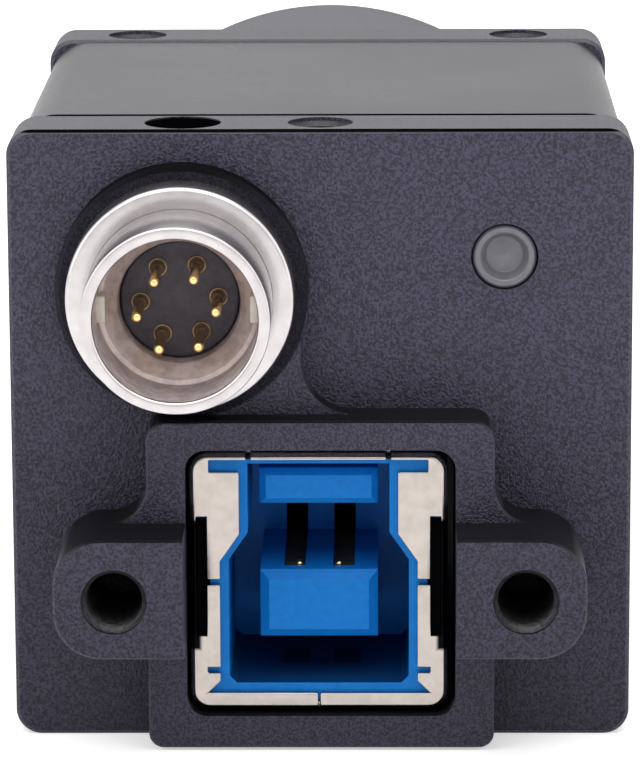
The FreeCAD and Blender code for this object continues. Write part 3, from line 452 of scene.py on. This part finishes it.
# %% Smooth shading for the frame's pieces
def make_smoothing_tree(limit):
    """Merges loose triangles and shades the bends below an angle smooth."""
    tree = bpy.data.node_groups.new("smooth_below_angle", "GeometryNodeTree")
    tree.interface.new_socket("Geometry", in_out="INPUT", socket_type="NodeSocketGeometry")
    tree.interface.new_socket("Geometry", in_out="OUTPUT", socket_type="NodeSocketGeometry")
    start = tree.nodes.new("NodeGroupInput")
    merge = tree.nodes.new("GeometryNodeMergeByDistance")
    merge.inputs["Distance"].default_value = 0.002 * MM
    faces = tree.nodes.new("GeometryNodeSetShadeSmooth")
    faces.domain = "FACE"
    edges = tree.nodes.new("GeometryNodeSetShadeSmooth")
    edges.domain = "EDGE"
    bend = tree.nodes.new("GeometryNodeInputMeshEdgeAngle")
    small = tree.nodes.new("FunctionNodeCompare")
    small.data_type = "FLOAT"
    small.operation = "LESS_THAN"
    small.inputs["B"].default_value = limit
    end = tree.nodes.new("NodeGroupOutput")
    link = tree.links.new
    link(start.outputs["Geometry"], merge.inputs["Geometry"])
    link(merge.outputs["Geometry"], faces.inputs["Geometry"])
    link(faces.outputs["Geometry"], edges.inputs["Geometry"])
    link(bend.outputs["Unsigned Angle"], small.inputs["A"])
    link(small.outputs["Result"], edges.inputs["Shade Smooth"])
    link(edges.outputs["Geometry"], end.inputs["Geometry"])
    return tree


SMOOTHING = make_smoothing_tree(math.radians(30))
print("smoothing nodes:", len(SMOOTHING.nodes))

# %% [markdown]
# A frame piece is dressed in one call: it gets the smoothing, its finish, and, where a fold or
# an edge is rounded on the real object, a small bevel between two smoothings. The bevel needs
# the merged mesh before it, and its new faces have to be shaded after it.

# %% Dressing a frame piece
def dress(material, *names, rounding=0.0):
    """Gives frame pieces a finish, small rounded edges where asked, and the smoothing modifier."""
    for name in names:
        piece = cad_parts[name]
        piece.modifiers.new("smooth_below_angle", "NODES").node_group = SMOOTHING
        if rounding:
            rounded = piece.modifiers.new("rounded_edges", "BEVEL")
            rounded.width = rounding * MM
            rounded.segments = 3
            rounded.limit_method = "ANGLE"
            rounded.angle_limit = math.radians(40)
            piece.modifiers.new("smooth_again", "NODES").node_group = SMOOTHING
        piece.data.materials.clear()
        piece.data.materials.append(material)


print("pieces to dress:", len(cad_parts))

# %% [markdown]
# The metals are nickel, tinned steel, gold, brass and blackened steel, and a dark gold that is
# painted shade on the data contacts. Most could be one metal in several colours, but what tells
# them apart is gloss as much as colour. The inner wall of the round socket has a satin nickel of
# its own, rougher and paler than the outside.

# %% Metal finishes
nickel = grained("bright_nickel", (0.51, 0.475, 0.48), (0.58, 0.545, 0.55),
                 roughness=0.24, grain_size=900.0, contrast=0.6, bump=0.1, metallic=1.0)
satin_nickel = grained("satin_nickel", (0.50, 0.44, 0.45), (0.66, 0.59, 0.60),
                       roughness=0.5, grain_size=1400.0, contrast=1.0, bump=0.1, metallic=0.55)
folded_steel = grained("tinned_steel", (0.40, 0.36, 0.33), (0.46, 0.41, 0.38),
                       roughness=0.26, grain_size=1500.0, contrast=0.6, bump=0.1, metallic=1.0)
gold = grained("gold_plating", (0.90, 0.62, 0.24), (0.95, 0.70, 0.32),
               roughness=0.2, grain_size=3000.0, contrast=0.5, bump=0.05, metallic=1.0)
dull_gold = grained("dull_gold", (0.20, 0.12, 0.05), (0.34, 0.22, 0.09),
                    roughness=0.4, grain_size=3000.0, contrast=0.8, bump=0.1, metallic=1.0)
brass = grained("nickelled_brass", (0.60, 0.55, 0.42), (0.68, 0.62, 0.48),
                roughness=0.3, grain_size=2000.0, contrast=0.5, bump=0.1, metallic=1.0)
black_steel = grained("blackened_steel", (0.010, 0.010, 0.012), (0.024, 0.024, 0.028),
                      roughness=0.38, grain_size=5000.0, contrast=0.7, bump=0.3)
key_plating = grained("key_plating", (0.58, 0.55, 0.47), (0.68, 0.65, 0.56),
                      roughness=0.4, grain_size=1800.0, contrast=0.5, bump=0.1, metallic=0.2)
# Painted shade: gold made dark, for the data contacts' long upper faces in shadow.
gold_in_shade = grained("painted_shade_gold", (0.045, 0.034, 0.024), (0.085, 0.066, 0.046),
                 roughness=0.5, grain_size=3000.0, contrast=0.9, bump=0.1, metallic=0.2)
thread_metal = grained("cut_thread", (0.010, 0.010, 0.012), (0.030, 0.030, 0.034),
                       roughness=0.3, grain_size=5000.0, contrast=0.7, bump=0.3, shine=0.35)
METALS = (nickel, satin_nickel, folded_steel, gold, dull_gold, brass, black_steel,
          key_plating, gold_in_shade, thread_metal)
print("metals:", len(METALS))

# %% [markdown]
# The rest is moulded, lacquered or fired, and uses the same grained finish with other values.
# The blue insert has little shine, which keeps its colour full. Most of these pieces are inside
# the housing and would show only through the lens mount.

# %% Moulded and other finishes
blue_moulding = grained("blue_moulding", (0.004, 0.165, 0.54), (0.006, 0.200, 0.64),
                        roughness=0.4, grain_size=2500.0, contrast=0.4, bump=0.1, shine=0.15)
black_moulding = grained("black_moulding", (0.030, 0.026, 0.040), (0.052, 0.046, 0.066),
                         roughness=0.5, grain_size=2500.0, contrast=0.7, bump=0.25)
pale_moulding = grained("pale_moulding", (0.60, 0.56, 0.45), (0.66, 0.62, 0.50),
                        roughness=0.45, grain_size=2500.0, contrast=0.5, bump=0.1)
board_lacquer = grained("board_lacquer", (0.008, 0.09, 0.035), (0.012, 0.12, 0.05),
                        roughness=0.3, grain_size=1200.0, contrast=0.5, bump=0.1)
rubber = grained("seal_rubber", (0.015, 0.015, 0.015), (0.03, 0.03, 0.03),
                 roughness=0.75, grain_size=3000.0, contrast=0.6, bump=0.3)
ceramic = grained("ceramic", (0.20, 0.19, 0.21), (0.27, 0.26, 0.28),
                  roughness=0.55, grain_size=3000.0, contrast=0.5, bump=0.2)
lamp_plastic = grained("lamp_plastic", (0.75, 0.75, 0.62), (0.80, 0.80, 0.68),
                       roughness=0.3, grain_size=3000.0, contrast=0.3, bump=0.05)
sensor_surface = grained("sensor_surface", (0.02, 0.035, 0.04), (0.05, 0.06, 0.08),
                         roughness=0.15, grain_size=8000.0, contrast=0.8, bump=0.0)
pipe_plastic = grained("pipe_plastic", (0.118, 0.114, 0.138), (0.148, 0.144, 0.168),
                       roughness=0.22, grain_size=1800.0, contrast=0.5, bump=0.1, shine=0.7)
print("moulded finishes:", blue_moulding.name, black_moulding.name, pale_moulding.name)

# %% [markdown]
# The housing gets painted shade where shade falls: in the seam at the sleeve's end, on the upward
# walls of what stands out of the panel, on the boss, along the panel's top edge and in the lock
# screw's hole. Painted shade also makes the lower part grow slowly darker, and a painted sheen
# lightens the upward walls of the body's top. Light alone could do this, but not without changing
# the rest, so it is colour laid on the shape.

# %% Painted light and shade on the housing
# Painted shade: the colour laid where shade falls on the housing and the square socket.
PAINTED_SHADE = (0.003, 0.003, 0.004)
SOCKET_X, SOCKET_Z = -6.4, 7.14
TOP_HOLES_Y = -42.4
# Painted shadow in the seam at the sleeve's end.
paint_light_and_shade(coated, BOX_MASK, PAINTED_SHADE, Centre=(0, -39.85, 0), Half_Size=(20, 0.5, 20), Edge=0.1)
# Painted shade that grows slowly darker towards the bottom.
paint_light_and_shade(anodised, BOX_MASK, PAINTED_SHADE, strength=0.42, Centre=(0, -44, -30),
           Half_Size=(30, 12, 12), Edge=24.0)
# Painted sheen on the upward walls of the body's top, where they mirror the bright room.
paint_light_and_shade(anodised, UPWARD_MASK, (0.075, 0.073, 0.083), strength=0.8, dull=False, Beyond=20.0)
# Painted shade on the upward walls of what stands out of the panel.
paint_light_and_shade(anodised, UPWARD_MASK, PAINTED_SHADE, strength=0.9, Beyond=-44.52)
# Painted shadow on the boss round the nut.
paint_light_and_shade(anodised, ROUND_MASK, PAINTED_SHADE, strength=0.74,
           Centre=(SOCKET_X, 0, SOCKET_Z), Radius=5.9, Beyond=-44.55, Edge=0.12)
# Painted shade along the panel's top edge.
paint_light_and_shade(anodised, BOX_MASK, PAINTED_SHADE, Centre=(0, -44.45, 14.5), Half_Size=(14.6, 0.14, 0.12),
           Edge=0.05)
# Painted shade inside the lock screw's hole.
paint_light_and_shade(anodised, BOX_MASK, PAINTED_SHADE, Centre=(SOCKET_X, TOP_HOLES_Y, 12.86),
           Half_Size=(1.84, 1.84, 1.56), Edge=0.04)
print("dark places laid on", anodised.name, "and", coated.name)

# %% [markdown]
# The square shell's top edge is rolled and catches the light, which is a painted highlight here,
# and it gets painted shade at both sides and below. The insert gets painted shade on its sides, in
# the slots between its two tongues and on its floor, which lies in deep shadow. Rolling the
# sheet's edge would take a finer shell, so the painted highlight stands in for it.

# %% Painted highlight and shade on the square socket
INSERT_X = -0.1
SLOT_X = 1.15
SHELL_FRONT = -46.9
# Painted highlight along the shell's rolled top edge.
paint_light_and_shade(folded_steel, BOX_MASK, (0.80, 0.78, 0.80), dull=False,
           Centre=(INSERT_X, SHELL_FRONT, -0.27), Half_Size=(6.1, 0.6, 0.1), Edge=0.04)
# Painted shade along the shell's lower edge.
paint_light_and_shade(folded_steel, BOX_MASK, (0.05, 0.046, 0.046), strength=0.85,
           Centre=(INSERT_X, SHELL_FRONT, -12.56), Half_Size=(5.4, 1.2, 0.13), Edge=0.09)
# Painted shadow on the insert's floor.
paint_light_and_shade(blue_moulding, BOX_MASK, (0.004, 0.018, 0.060), strength=0.85,
           Centre=(INSERT_X, -42.3, -11.6), Half_Size=(4.4, 4.15, 0.5), Edge=0.06)
for side in (-1, 1):
    # Painted shade at the shell's sides.
    paint_light_and_shade(folded_steel, BOX_MASK, PAINTED_SHADE,
               Centre=(INSERT_X + side * 6.0, SHELL_FRONT, -6.55),
               Half_Size=(0.42, 1.2, 3.05), Edge=0.16)
    # A narrow patch of painted shade higher on each side of the shell.
    paint_light_and_shade(folded_steel, BOX_MASK, PAINTED_SHADE, strength=0.8,
               Centre=(INSERT_X + side * 6.05, SHELL_FRONT, -3.25),
               Half_Size=(0.16, 1.2, 0.45), Edge=0.14)
    # Painted shade on the insert's sides, behind the shell's reliefs.
    paint_light_and_shade(blue_moulding, BOX_MASK, PAINTED_SHADE,
               Centre=(INSERT_X + side * 5.5, -46.5, -6.7), Half_Size=(0.42, 1.0, 3.3), Edge=0.05)
    # Painted shade in the slots between the two tongues.
    paint_light_and_shade(blue_moulding, BOX_MASK, PAINTED_SHADE,
               Centre=(INSERT_X + side * SLOT_X, -38.0, -4.65),
               Half_Size=(0.5, 0.9, 1.75), Edge=0.04)
    # Painted shade on the insert's floor, on each side of the middle.
    paint_light_and_shade(blue_moulding, BOX_MASK, (0.004, 0.02, 0.06), strength=0.8,
               Centre=(-0.02 + side * 1.2, -41.8, -11.5), Half_Size=(0.6, 1.3, 0.5), Edge=0.1)
print("nodes in the blue finish:", len(blue_moulding.node_tree.nodes))

# %% [markdown]
# The filter and the sensor's window are glass, which lets light through and bends it. A thin
# see-through colour would be cheaper but wouldn't bend what lies behind. The gloss varies a
# little with the same slow cloud as in the other finishes.

# %% Clear finish
def clear(name, tint):
    """A clear solid that light passes through."""
    material, tree, finish = new_material(name)
    grain = tree.nodes.new("ShaderNodeGroup")
    grain.node_tree = GRAIN
    grain.inputs["Grain Size"].default_value = 1500.0
    rough = add_node(tree, "ShaderNodeMapRange", To_Min=0.0, To_Max=0.06)
    tree.links.new(grain.outputs["Cloud"], rough.inputs["Value"])
    tree.links.new(rough.outputs["Result"], finish.inputs["Roughness"])
    finish.inputs["Base Color"].default_value = (*tint, 1.0)
    finish.inputs["Transmission Weight"].default_value = 1.0
    finish.inputs["IOR"].default_value = 1.5
    return material


glass = clear("coated_glass", (0.80, 0.93, 0.95))
print("clear finish:", glass.name)

# %% [markdown]
# Now each frame piece gets its finish. Six pieces are left out, because they are modelled again
# further down and the frame's own ones are then hidden. Only the folded shell gets rounded
# edges here, because a bent sheet has no sharp corners.

# %% Finishes on the frame's pieces
dress(anodised, "rear_block", "lens_mount_block", "filter_retainer")
dress(coated, "wrap_cover")
dress(folded_steel, "data_socket_shell", rounding=0.09)
dress(gold, "fast_contacts")
dress(brass, "front_spacers", "rear_spacers", "stack_nuts")
dress(black_steel, "tie_screws", "socket_lock_screw")
dress(blue_moulding, "data_socket_insulator")
dress(black_moulding, "processor_chip", "memory_chip", "link_chip", "power_inductor")
dress(pale_moulding, "front_link_plug", "front_link_socket", "rear_link_plug", "rear_link_socket")
dress(board_lacquer, "sensor_board", "processor_board", "interface_board")
dress(rubber, "sensor_seal")
dress(ceramic, "sensor_package")
dress(lamp_plastic, "status_lamp")
dress(sensor_surface, "sensor_die")
dress(glass, "filter_glass", "sensor_window")
bare = [name for name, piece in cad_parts.items() if not piece.modifiers]
print("pieces without a finish yet:", bare)

# %% [markdown]
# The round socket is turned from bar, so its pieces are spun from half outlines. A corner of
# an outline can carry a radius: it is replaced by a short arc before the outline is spun.

# %% Turned pieces
def round_corners(outline, steps=4):
    """The outline with each corner that carries a third value rounded by that radius."""
    points = []
    count = len(outline)
    for n, corner in enumerate(outline):
        here = Vector(corner[:2])
        if len(corner) < 3:
            points.append(here)
            continue
        before = (Vector(outline[n - 1][:2]) - here).normalized()
        after = (Vector(outline[(n + 1) % count][:2]) - here).normalized()
        half = before.angle(after) / 2
        middle = here + (before + after).normalized() * corner[2] / math.sin(half)
        reach = corner[2] / math.tan(half)
        start, end = here + before * reach - middle, here + after * reach - middle
        turn = start.angle_signed(end)
        for step in range(steps + 1):
            points.append(middle + Matrix.Rotation(-turn * step / steps, 2) @ start)
    return points


def spin_into(shape, outline, x, z, segments):
    """Adds to shape the solid spun from (radius, y) points about an axis along Y at (x, z)."""
    corners = [shape.verts.new((x + radius, y, z)) for radius, y in round_corners(outline)]
    edges = [shape.edges.new((corners[n - 1], corners[n])) for n in range(len(corners))]
    bmesh.ops.spin(shape, geom=corners + edges, cent=(x, 0, z), axis=(0, 1, 0),
                   angle=math.tau, steps=segments, use_merge=True)


corner_points = len(round_corners([(0, 0, 0.1), (1, 0), (0, 1)])) - 2
print("a rounded corner becomes", corner_points, "points")

# %% [markdown]
# Each new shape is brought from millimetres to metres, has its normals turned outwards, and
# becomes an object at the origin with its place in its mesh. Some pieces have a second finish
# on a part of them. A tint changes the colour and the shine alone, so where the metal differs
# as well, the faces get a material of their own.

# %% Finishing a new piece
def finished(name, shape, material, crease=30):
    """An object from the shape, whose points are in mm, shaded smooth below an angle."""
    bmesh.ops.remove_doubles(shape, verts=shape.verts, dist=1e-5)
    bmesh.ops.recalc_face_normals(shape, faces=shape.faces)
    bmesh.ops.scale(shape, vec=(MM, MM, MM), verts=shape.verts)
    mesh = bpy.data.meshes.new(name)
    shape.to_mesh(mesh)
    shape.free()
    mesh.shade_smooth()
    mesh.set_sharp_from_angle(angle=math.radians(crease))
    mesh.materials.append(material)
    piece = bpy.data.objects.new(name, mesh)
    bpy.context.scene.collection.objects.link(piece)
    return piece


def refinish(piece, material, wanted):
    """Another material on the faces that wanted(face, middle) picks; the middle is in mm."""
    piece.data.materials.append(material)
    for face in piece.data.polygons:
        if wanted(face, face.center / MM):
            face.material_index = len(piece.data.materials) - 1


def keep(piece, slot, instead_of=None):
    """Fixes a piece to the body and hides the frame's piece it stands for. The slot is not used.
    """
    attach(piece, "root")
    if instead_of:
        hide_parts(instead_of)


print("helpers:", [helper.__name__ for helper in (finished, refinish, keep)])

# %% [markdown]
# The socket's barrel is a thin tube with a rounded mouth, a short cone inside and a flange
# behind the panel. A nut with a rounded front edge holds it from outside. Two bars on its inner
# wall are taken as the keys that guide the plug. Barrel and nut could be cylinders with
# bevels, but one spun outline gives every step at once.

# %% Round socket shell and nut
def block_into(shape, low, high, bevel):
    """Adds a box between two corners to shape, with its edges rounded."""
    made = bmesh.ops.create_cube(shape, size=1.0)
    low, high = Vector(low), Vector(high)
    bmesh.ops.scale(shape, vec=high - low, verts=made["verts"])
    bmesh.ops.translate(shape, vec=(low + high) / 2, verts=made["verts"])
    edges = list({edge for vert in made["verts"] for edge in vert.link_edges})
    bmesh.ops.bevel(shape, geom=edges, offset=bevel, segments=2, profile=0.5,
                    affect="EDGES", clamp_overlap=True, material=-1)


MOUTH = -52.6
WALL_RADIUS = 3.72
KEY_LOW, KEY_HIGH, KEY_HALF = -49.9, -48.2, 0.62


def inside_barrel(face, spot):
    """The inner wall and what lies deeper, but not the mouth's rounded rim."""
    radius = math.hypot(spot.x - SOCKET_X, spot.z - SOCKET_Z)
    return radius < WALL_RADIUS + 0.02 and spot.y > MOUTH + 0.16


def on_key_bar(face, spot):
    """The two bars on the inner wall."""
    beside = abs(spot.z - SOCKET_Z) < KEY_HALF + 0.01 and abs(spot.x - SOCKET_X) > 3.2
    return beside and KEY_LOW - 0.05 < spot.y < KEY_HIGH + 0.05


shell = bmesh.new()
spin_into(shell, [
    (2.78, -37.1), (4.28, -37.1), (4.28, -39.1), (4.95, -39.1), (4.95, -40.3), (4.28, -40.3),
    (4.28, MOUTH, 0.12), (WALL_RADIUS, MOUTH, 0.16), (WALL_RADIUS, -49.0, 0.1),
    (3.50, -48.86, 0.05),
    (2.84, -48.15, 0.1), (2.78, -47.9),
], SOCKET_X, SOCKET_Z, 160)
for side in (-1, 1):
    inner, outer = sorted((SOCKET_X + side * 3.28, SOCKET_X + side * 3.76))
    block_into(shell, (inner, KEY_LOW, SOCKET_Z - KEY_HALF),
               (outer, KEY_HIGH, SOCKET_Z + KEY_HALF), 0.06)
shell = finished("round_shell", shell, nickel)
refinish(shell, satin_nickel, inside_barrel)
refinish(shell, key_plating, on_key_bar)
keep(shell, "bright_nickel", instead_of="round_socket_shell")

nut = bmesh.new()
spin_into(nut, [(4.29, -45.85), (5.25, -45.85), (5.25, -47.95, 0.22), (4.29, -47.95, 0.02)],
          SOCKET_X, SOCKET_Z, 160)
nut = finished("round_nut", nut, nickel)
keep(nut, "bright_nickel", instead_of="round_socket_nut")
print("shell and nut faces:", len(shell.data.polygons), len(nut.data.polygons))

# %% [markdown]
# The six pins stand in small gold collars on the insulator's face, and end in round tips. They
# are spun one by one on a circle, because each needs its own axis.

# %% Round socket insulator and pins
PIN_CIRCLE = 1.79
PIN_TURN = 3.5
CONTACT_ROOT = -34.0
insulator = bmesh.new()
spin_into(insulator, [(0.02, -36.7), (2.73, -36.7), (2.73, -47.4, 0.12), (0.02, -47.4)],
          SOCKET_X, SOCKET_Z, 96)
insulator = finished("round_insulator", insulator, black_moulding)
keep(insulator, "socket_black", instead_of="round_socket_insulator")

pins = bmesh.new()
collars = bmesh.new()
for n in range(6):
    turn = math.radians(PIN_TURN + 60 * n)
    x, z = SOCKET_X + PIN_CIRCLE * math.cos(turn), SOCKET_Z + PIN_CIRCLE * math.sin(turn)
    spin_into(pins, [(0.001, CONTACT_ROOT), (0.23, CONTACT_ROOT), (0.23, -51.2, 0.2),
                     (0.001, -51.2)], x, z, 28)
    spin_into(collars, [(0.36, -47.38), (0.43, -47.38), (0.43, -47.5, 0.02), (0.36, -47.5, 0.02)],
              x, z, 28)
pins = finished("round_pins", pins, gold)
keep(pins, "contact_gold", instead_of="round_socket_pins")
collars = finished("pin_collars", collars, dull_gold)
keep(collars, "contact_gold")
print("pins and insulator faces:", len(pins.data.polygons), len(insulator.data.polygons))

# %% [markdown]
# The status light shows through the dished end of a frosted pipe, with a dark rim round it. It
# is a turned piece as well, so one outline gives the collar, the rim and the dish. Frosted
# plastic could be glass with a rough surface, but unlit it looks like a plain smoky grey.

# %% Status light pipe
LIGHT_X, LIGHT_Z = 8.55, 8.51
RIM_INSIDE, RIM_OUTSIDE = 1.34, 1.6


def on_rim(face, spot):
    """The rim and the side below it."""
    return RIM_INSIDE < math.hypot(spot.x - LIGHT_X, spot.z - LIGHT_Z) < RIM_OUTSIDE


pipe = bmesh.new()
spin_into(pipe, [
    (0.01, -35.2), (1.5, -35.2), (1.5, -39.5), (2.0, -39.5), (2.0, -40.3), (1.5, -40.3),
    (1.5, -44.45, 0.12), (1.12, -44.4, 0.1), (0.86, -43.7, 0.15), (0.01, -43.8),
], LIGHT_X, LIGHT_Z, 96)
pipe = finished("light_pipe", pipe, pipe_plastic, crease=50)
refinish(pipe, black_moulding, on_rim)
keep(pipe, "light_clear", instead_of="status_light_pipe")
print("pipe faces:", len(pipe.data.polygons))

# %% [markdown]
# The contacts of the broad tongue are bent strips. The two upper ones end in a small rise with
# a round dot on it, which catches the light inside the dark slots, while their long upper faces
# lie in shadow and get painted shade: a dark, dull gold. A strip could be a bent plane with a
# thickness, but its side view, drawn out across its width, gives both at once.

# %% Data contacts
def strip_into(shape, x, width, line, thick):
    """Adds a bent strip: a line of (y, z) points, level across X, with a thickness below it."""
    left, right = x - width / 2, x + width / 2
    rows = line + [(y, z - thick) for y, z in reversed(line)]
    face = shape.faces.new([shape.verts.new((left, y, z)) for y, z in rows])
    grown = bmesh.ops.extrude_face_region(shape, geom=[face])
    moved = [part for part in grown["geom"] if isinstance(part, bmesh.types.BMVert)]
    bmesh.ops.translate(shape, verts=moved, vec=(right - left, 0, 0))


STRIP_WIDTH, STRIP_THICK, STRIP_TIP = 0.9, 0.2, -44.85
UPPER_STRIP = [(CONTACT_ROOT, -6.42), (-43.3, -6.42), (-43.9, -6.24), (-44.4, -6.2),
               (-44.7, -6.34), (STRIP_TIP, -6.5)]
LOWER_STRIP = [(CONTACT_ROOT, -8.84), (STRIP_TIP, -8.84)]
LONG_FACE = 0.3 * MM * MM


def on_long_top(face, spot):
    """The long upper faces of the strips."""
    return face.normal.z > 0.5 and face.area > LONG_FACE


contacts = bmesh.new()
for side in (-1, 1):
    x = INSERT_X + side * SLOT_X
    strip_into(contacts, x, STRIP_WIDTH, UPPER_STRIP, STRIP_THICK)
    strip_into(contacts, x, STRIP_WIDTH, LOWER_STRIP, STRIP_THICK)
    spin_into(contacts, [(0.001, -44.3), (0.14, -44.3), (0.14, -44.74, 0.1), (0.001, -44.76)],
              x - side * 0.22, -6.12, 16)
contacts = finished("data_strips", contacts, gold, crease=20)
# Painted shade on the strips' long upper faces.
refinish(contacts, gold_in_shade, on_long_top)
keep(contacts, "contact_gold", instead_of="data_contacts")
print("contact faces:", len(contacts.data.polygons))

# %% [markdown]
# Tapped holes show the crests of their threads. A row of ridges is spun for each one and
# turned to the way that the hole opens. A true helix would need a start and a run-out as well,
# and at this size nobody could tell it from rings.

# %% Threads of the tapped holes
def ridges_into(shape, major, minor, pitch, depth, mouth, turn=None, segments=48):
    """Adds a threaded sleeve from the mouth inwards; the outline opens along -Y before turn."""
    teeth = int(depth / pitch)
    outline = [(major, depth), (major, 0.02)]
    for n in range(teeth):
        outline += [(major - 0.02, (n + 0.1) * pitch), (minor, (n + 0.5) * pitch)]
    outline.append((major - 0.02, depth))
    made = bmesh.new()
    spin_into(made, outline, 0, 0, segments)
    if turn is not None:
        bmesh.ops.transform(made, matrix=turn, verts=made.verts)
    bmesh.ops.translate(made, vec=mouth, verts=made.verts)
    spare = bpy.data.meshes.new("spare")
    made.to_mesh(spare)
    made.free()
    shape.from_mesh(spare)
    bpy.data.meshes.remove(spare)


opens_up = Matrix.Rotation(math.radians(-90), 4, "X")
opens_down = Matrix.Rotation(math.radians(90), 4, "X")
TAP_RADIUS, TAP_CREST, TAP_PITCH = 1.52, 1.28, 0.5
TAP_MOUTH = 14.35
FRONT_TAP_X, FRONT_TAP_Y = 10, -13.7
FRONT_TAP_DEPTH, TOP_TAP_DEPTH = 3.5, 2.6
LOCK_PLACE, LOCK_CREST, LOCK_DEPTH = Vector((9.45, -50.35, -6.42)), 1.30, 6.5
threads = bmesh.new()
for side in (-1, 1):
    ridges_into(threads, TAP_RADIUS, LOCK_CREST, TAP_PITCH, LOCK_DEPTH,
                (side * LOCK_PLACE.x, LOCK_PLACE.y, LOCK_PLACE.z))
    ridges_into(threads, TAP_RADIUS, TAP_CREST, TAP_PITCH, FRONT_TAP_DEPTH,
                (side * FRONT_TAP_X, FRONT_TAP_Y, TAP_MOUTH), opens_up)
    ridges_into(threads, TAP_RADIUS, TAP_CREST, TAP_PITCH, FRONT_TAP_DEPTH,
                (side * FRONT_TAP_X, FRONT_TAP_Y, -TAP_MOUTH), opens_down)
ridges_into(threads, TAP_RADIUS, TAP_CREST, TAP_PITCH, TOP_TAP_DEPTH,
            (0, TOP_HOLES_Y, TAP_MOUTH), opens_up)
threads = finished("tapped_threads", threads, thread_metal, crease=20)
keep(threads, "housing_black")
print("tapped thread faces:", len(threads.data.polygons))

# %% [markdown]
# The lens screws into the mount's wide thread, which has thirty-two turns to the inch. It is
# made like the small ones, with more segments so that the wide ring stays round.

# %% Thread of the lens mount
opens_forward = Matrix.Rotation(math.radians(180), 4, "X")
MOUNT_RADIUS, MOUNT_CREST, MOUNT_PITCH, MOUNT_DEPTH = 12.29, 11.9, 0.794, 3.9
mount_thread = bmesh.new()
ridges_into(mount_thread, MOUNT_RADIUS, MOUNT_CREST, MOUNT_PITCH, MOUNT_DEPTH,
            (0, -0.15, 0), opens_forward, segments=180)
mount_thread = finished("mount_thread", mount_thread, anodised, crease=20)
keep(mount_thread, "housing_black")
print("mount thread faces:", len(mount_thread.data.polygons))

# %% [markdown]
# The last cell sets plain colours and ends the scene.

# %% Finish
bpy.context.scene.view_settings.view_transform = "Standard"
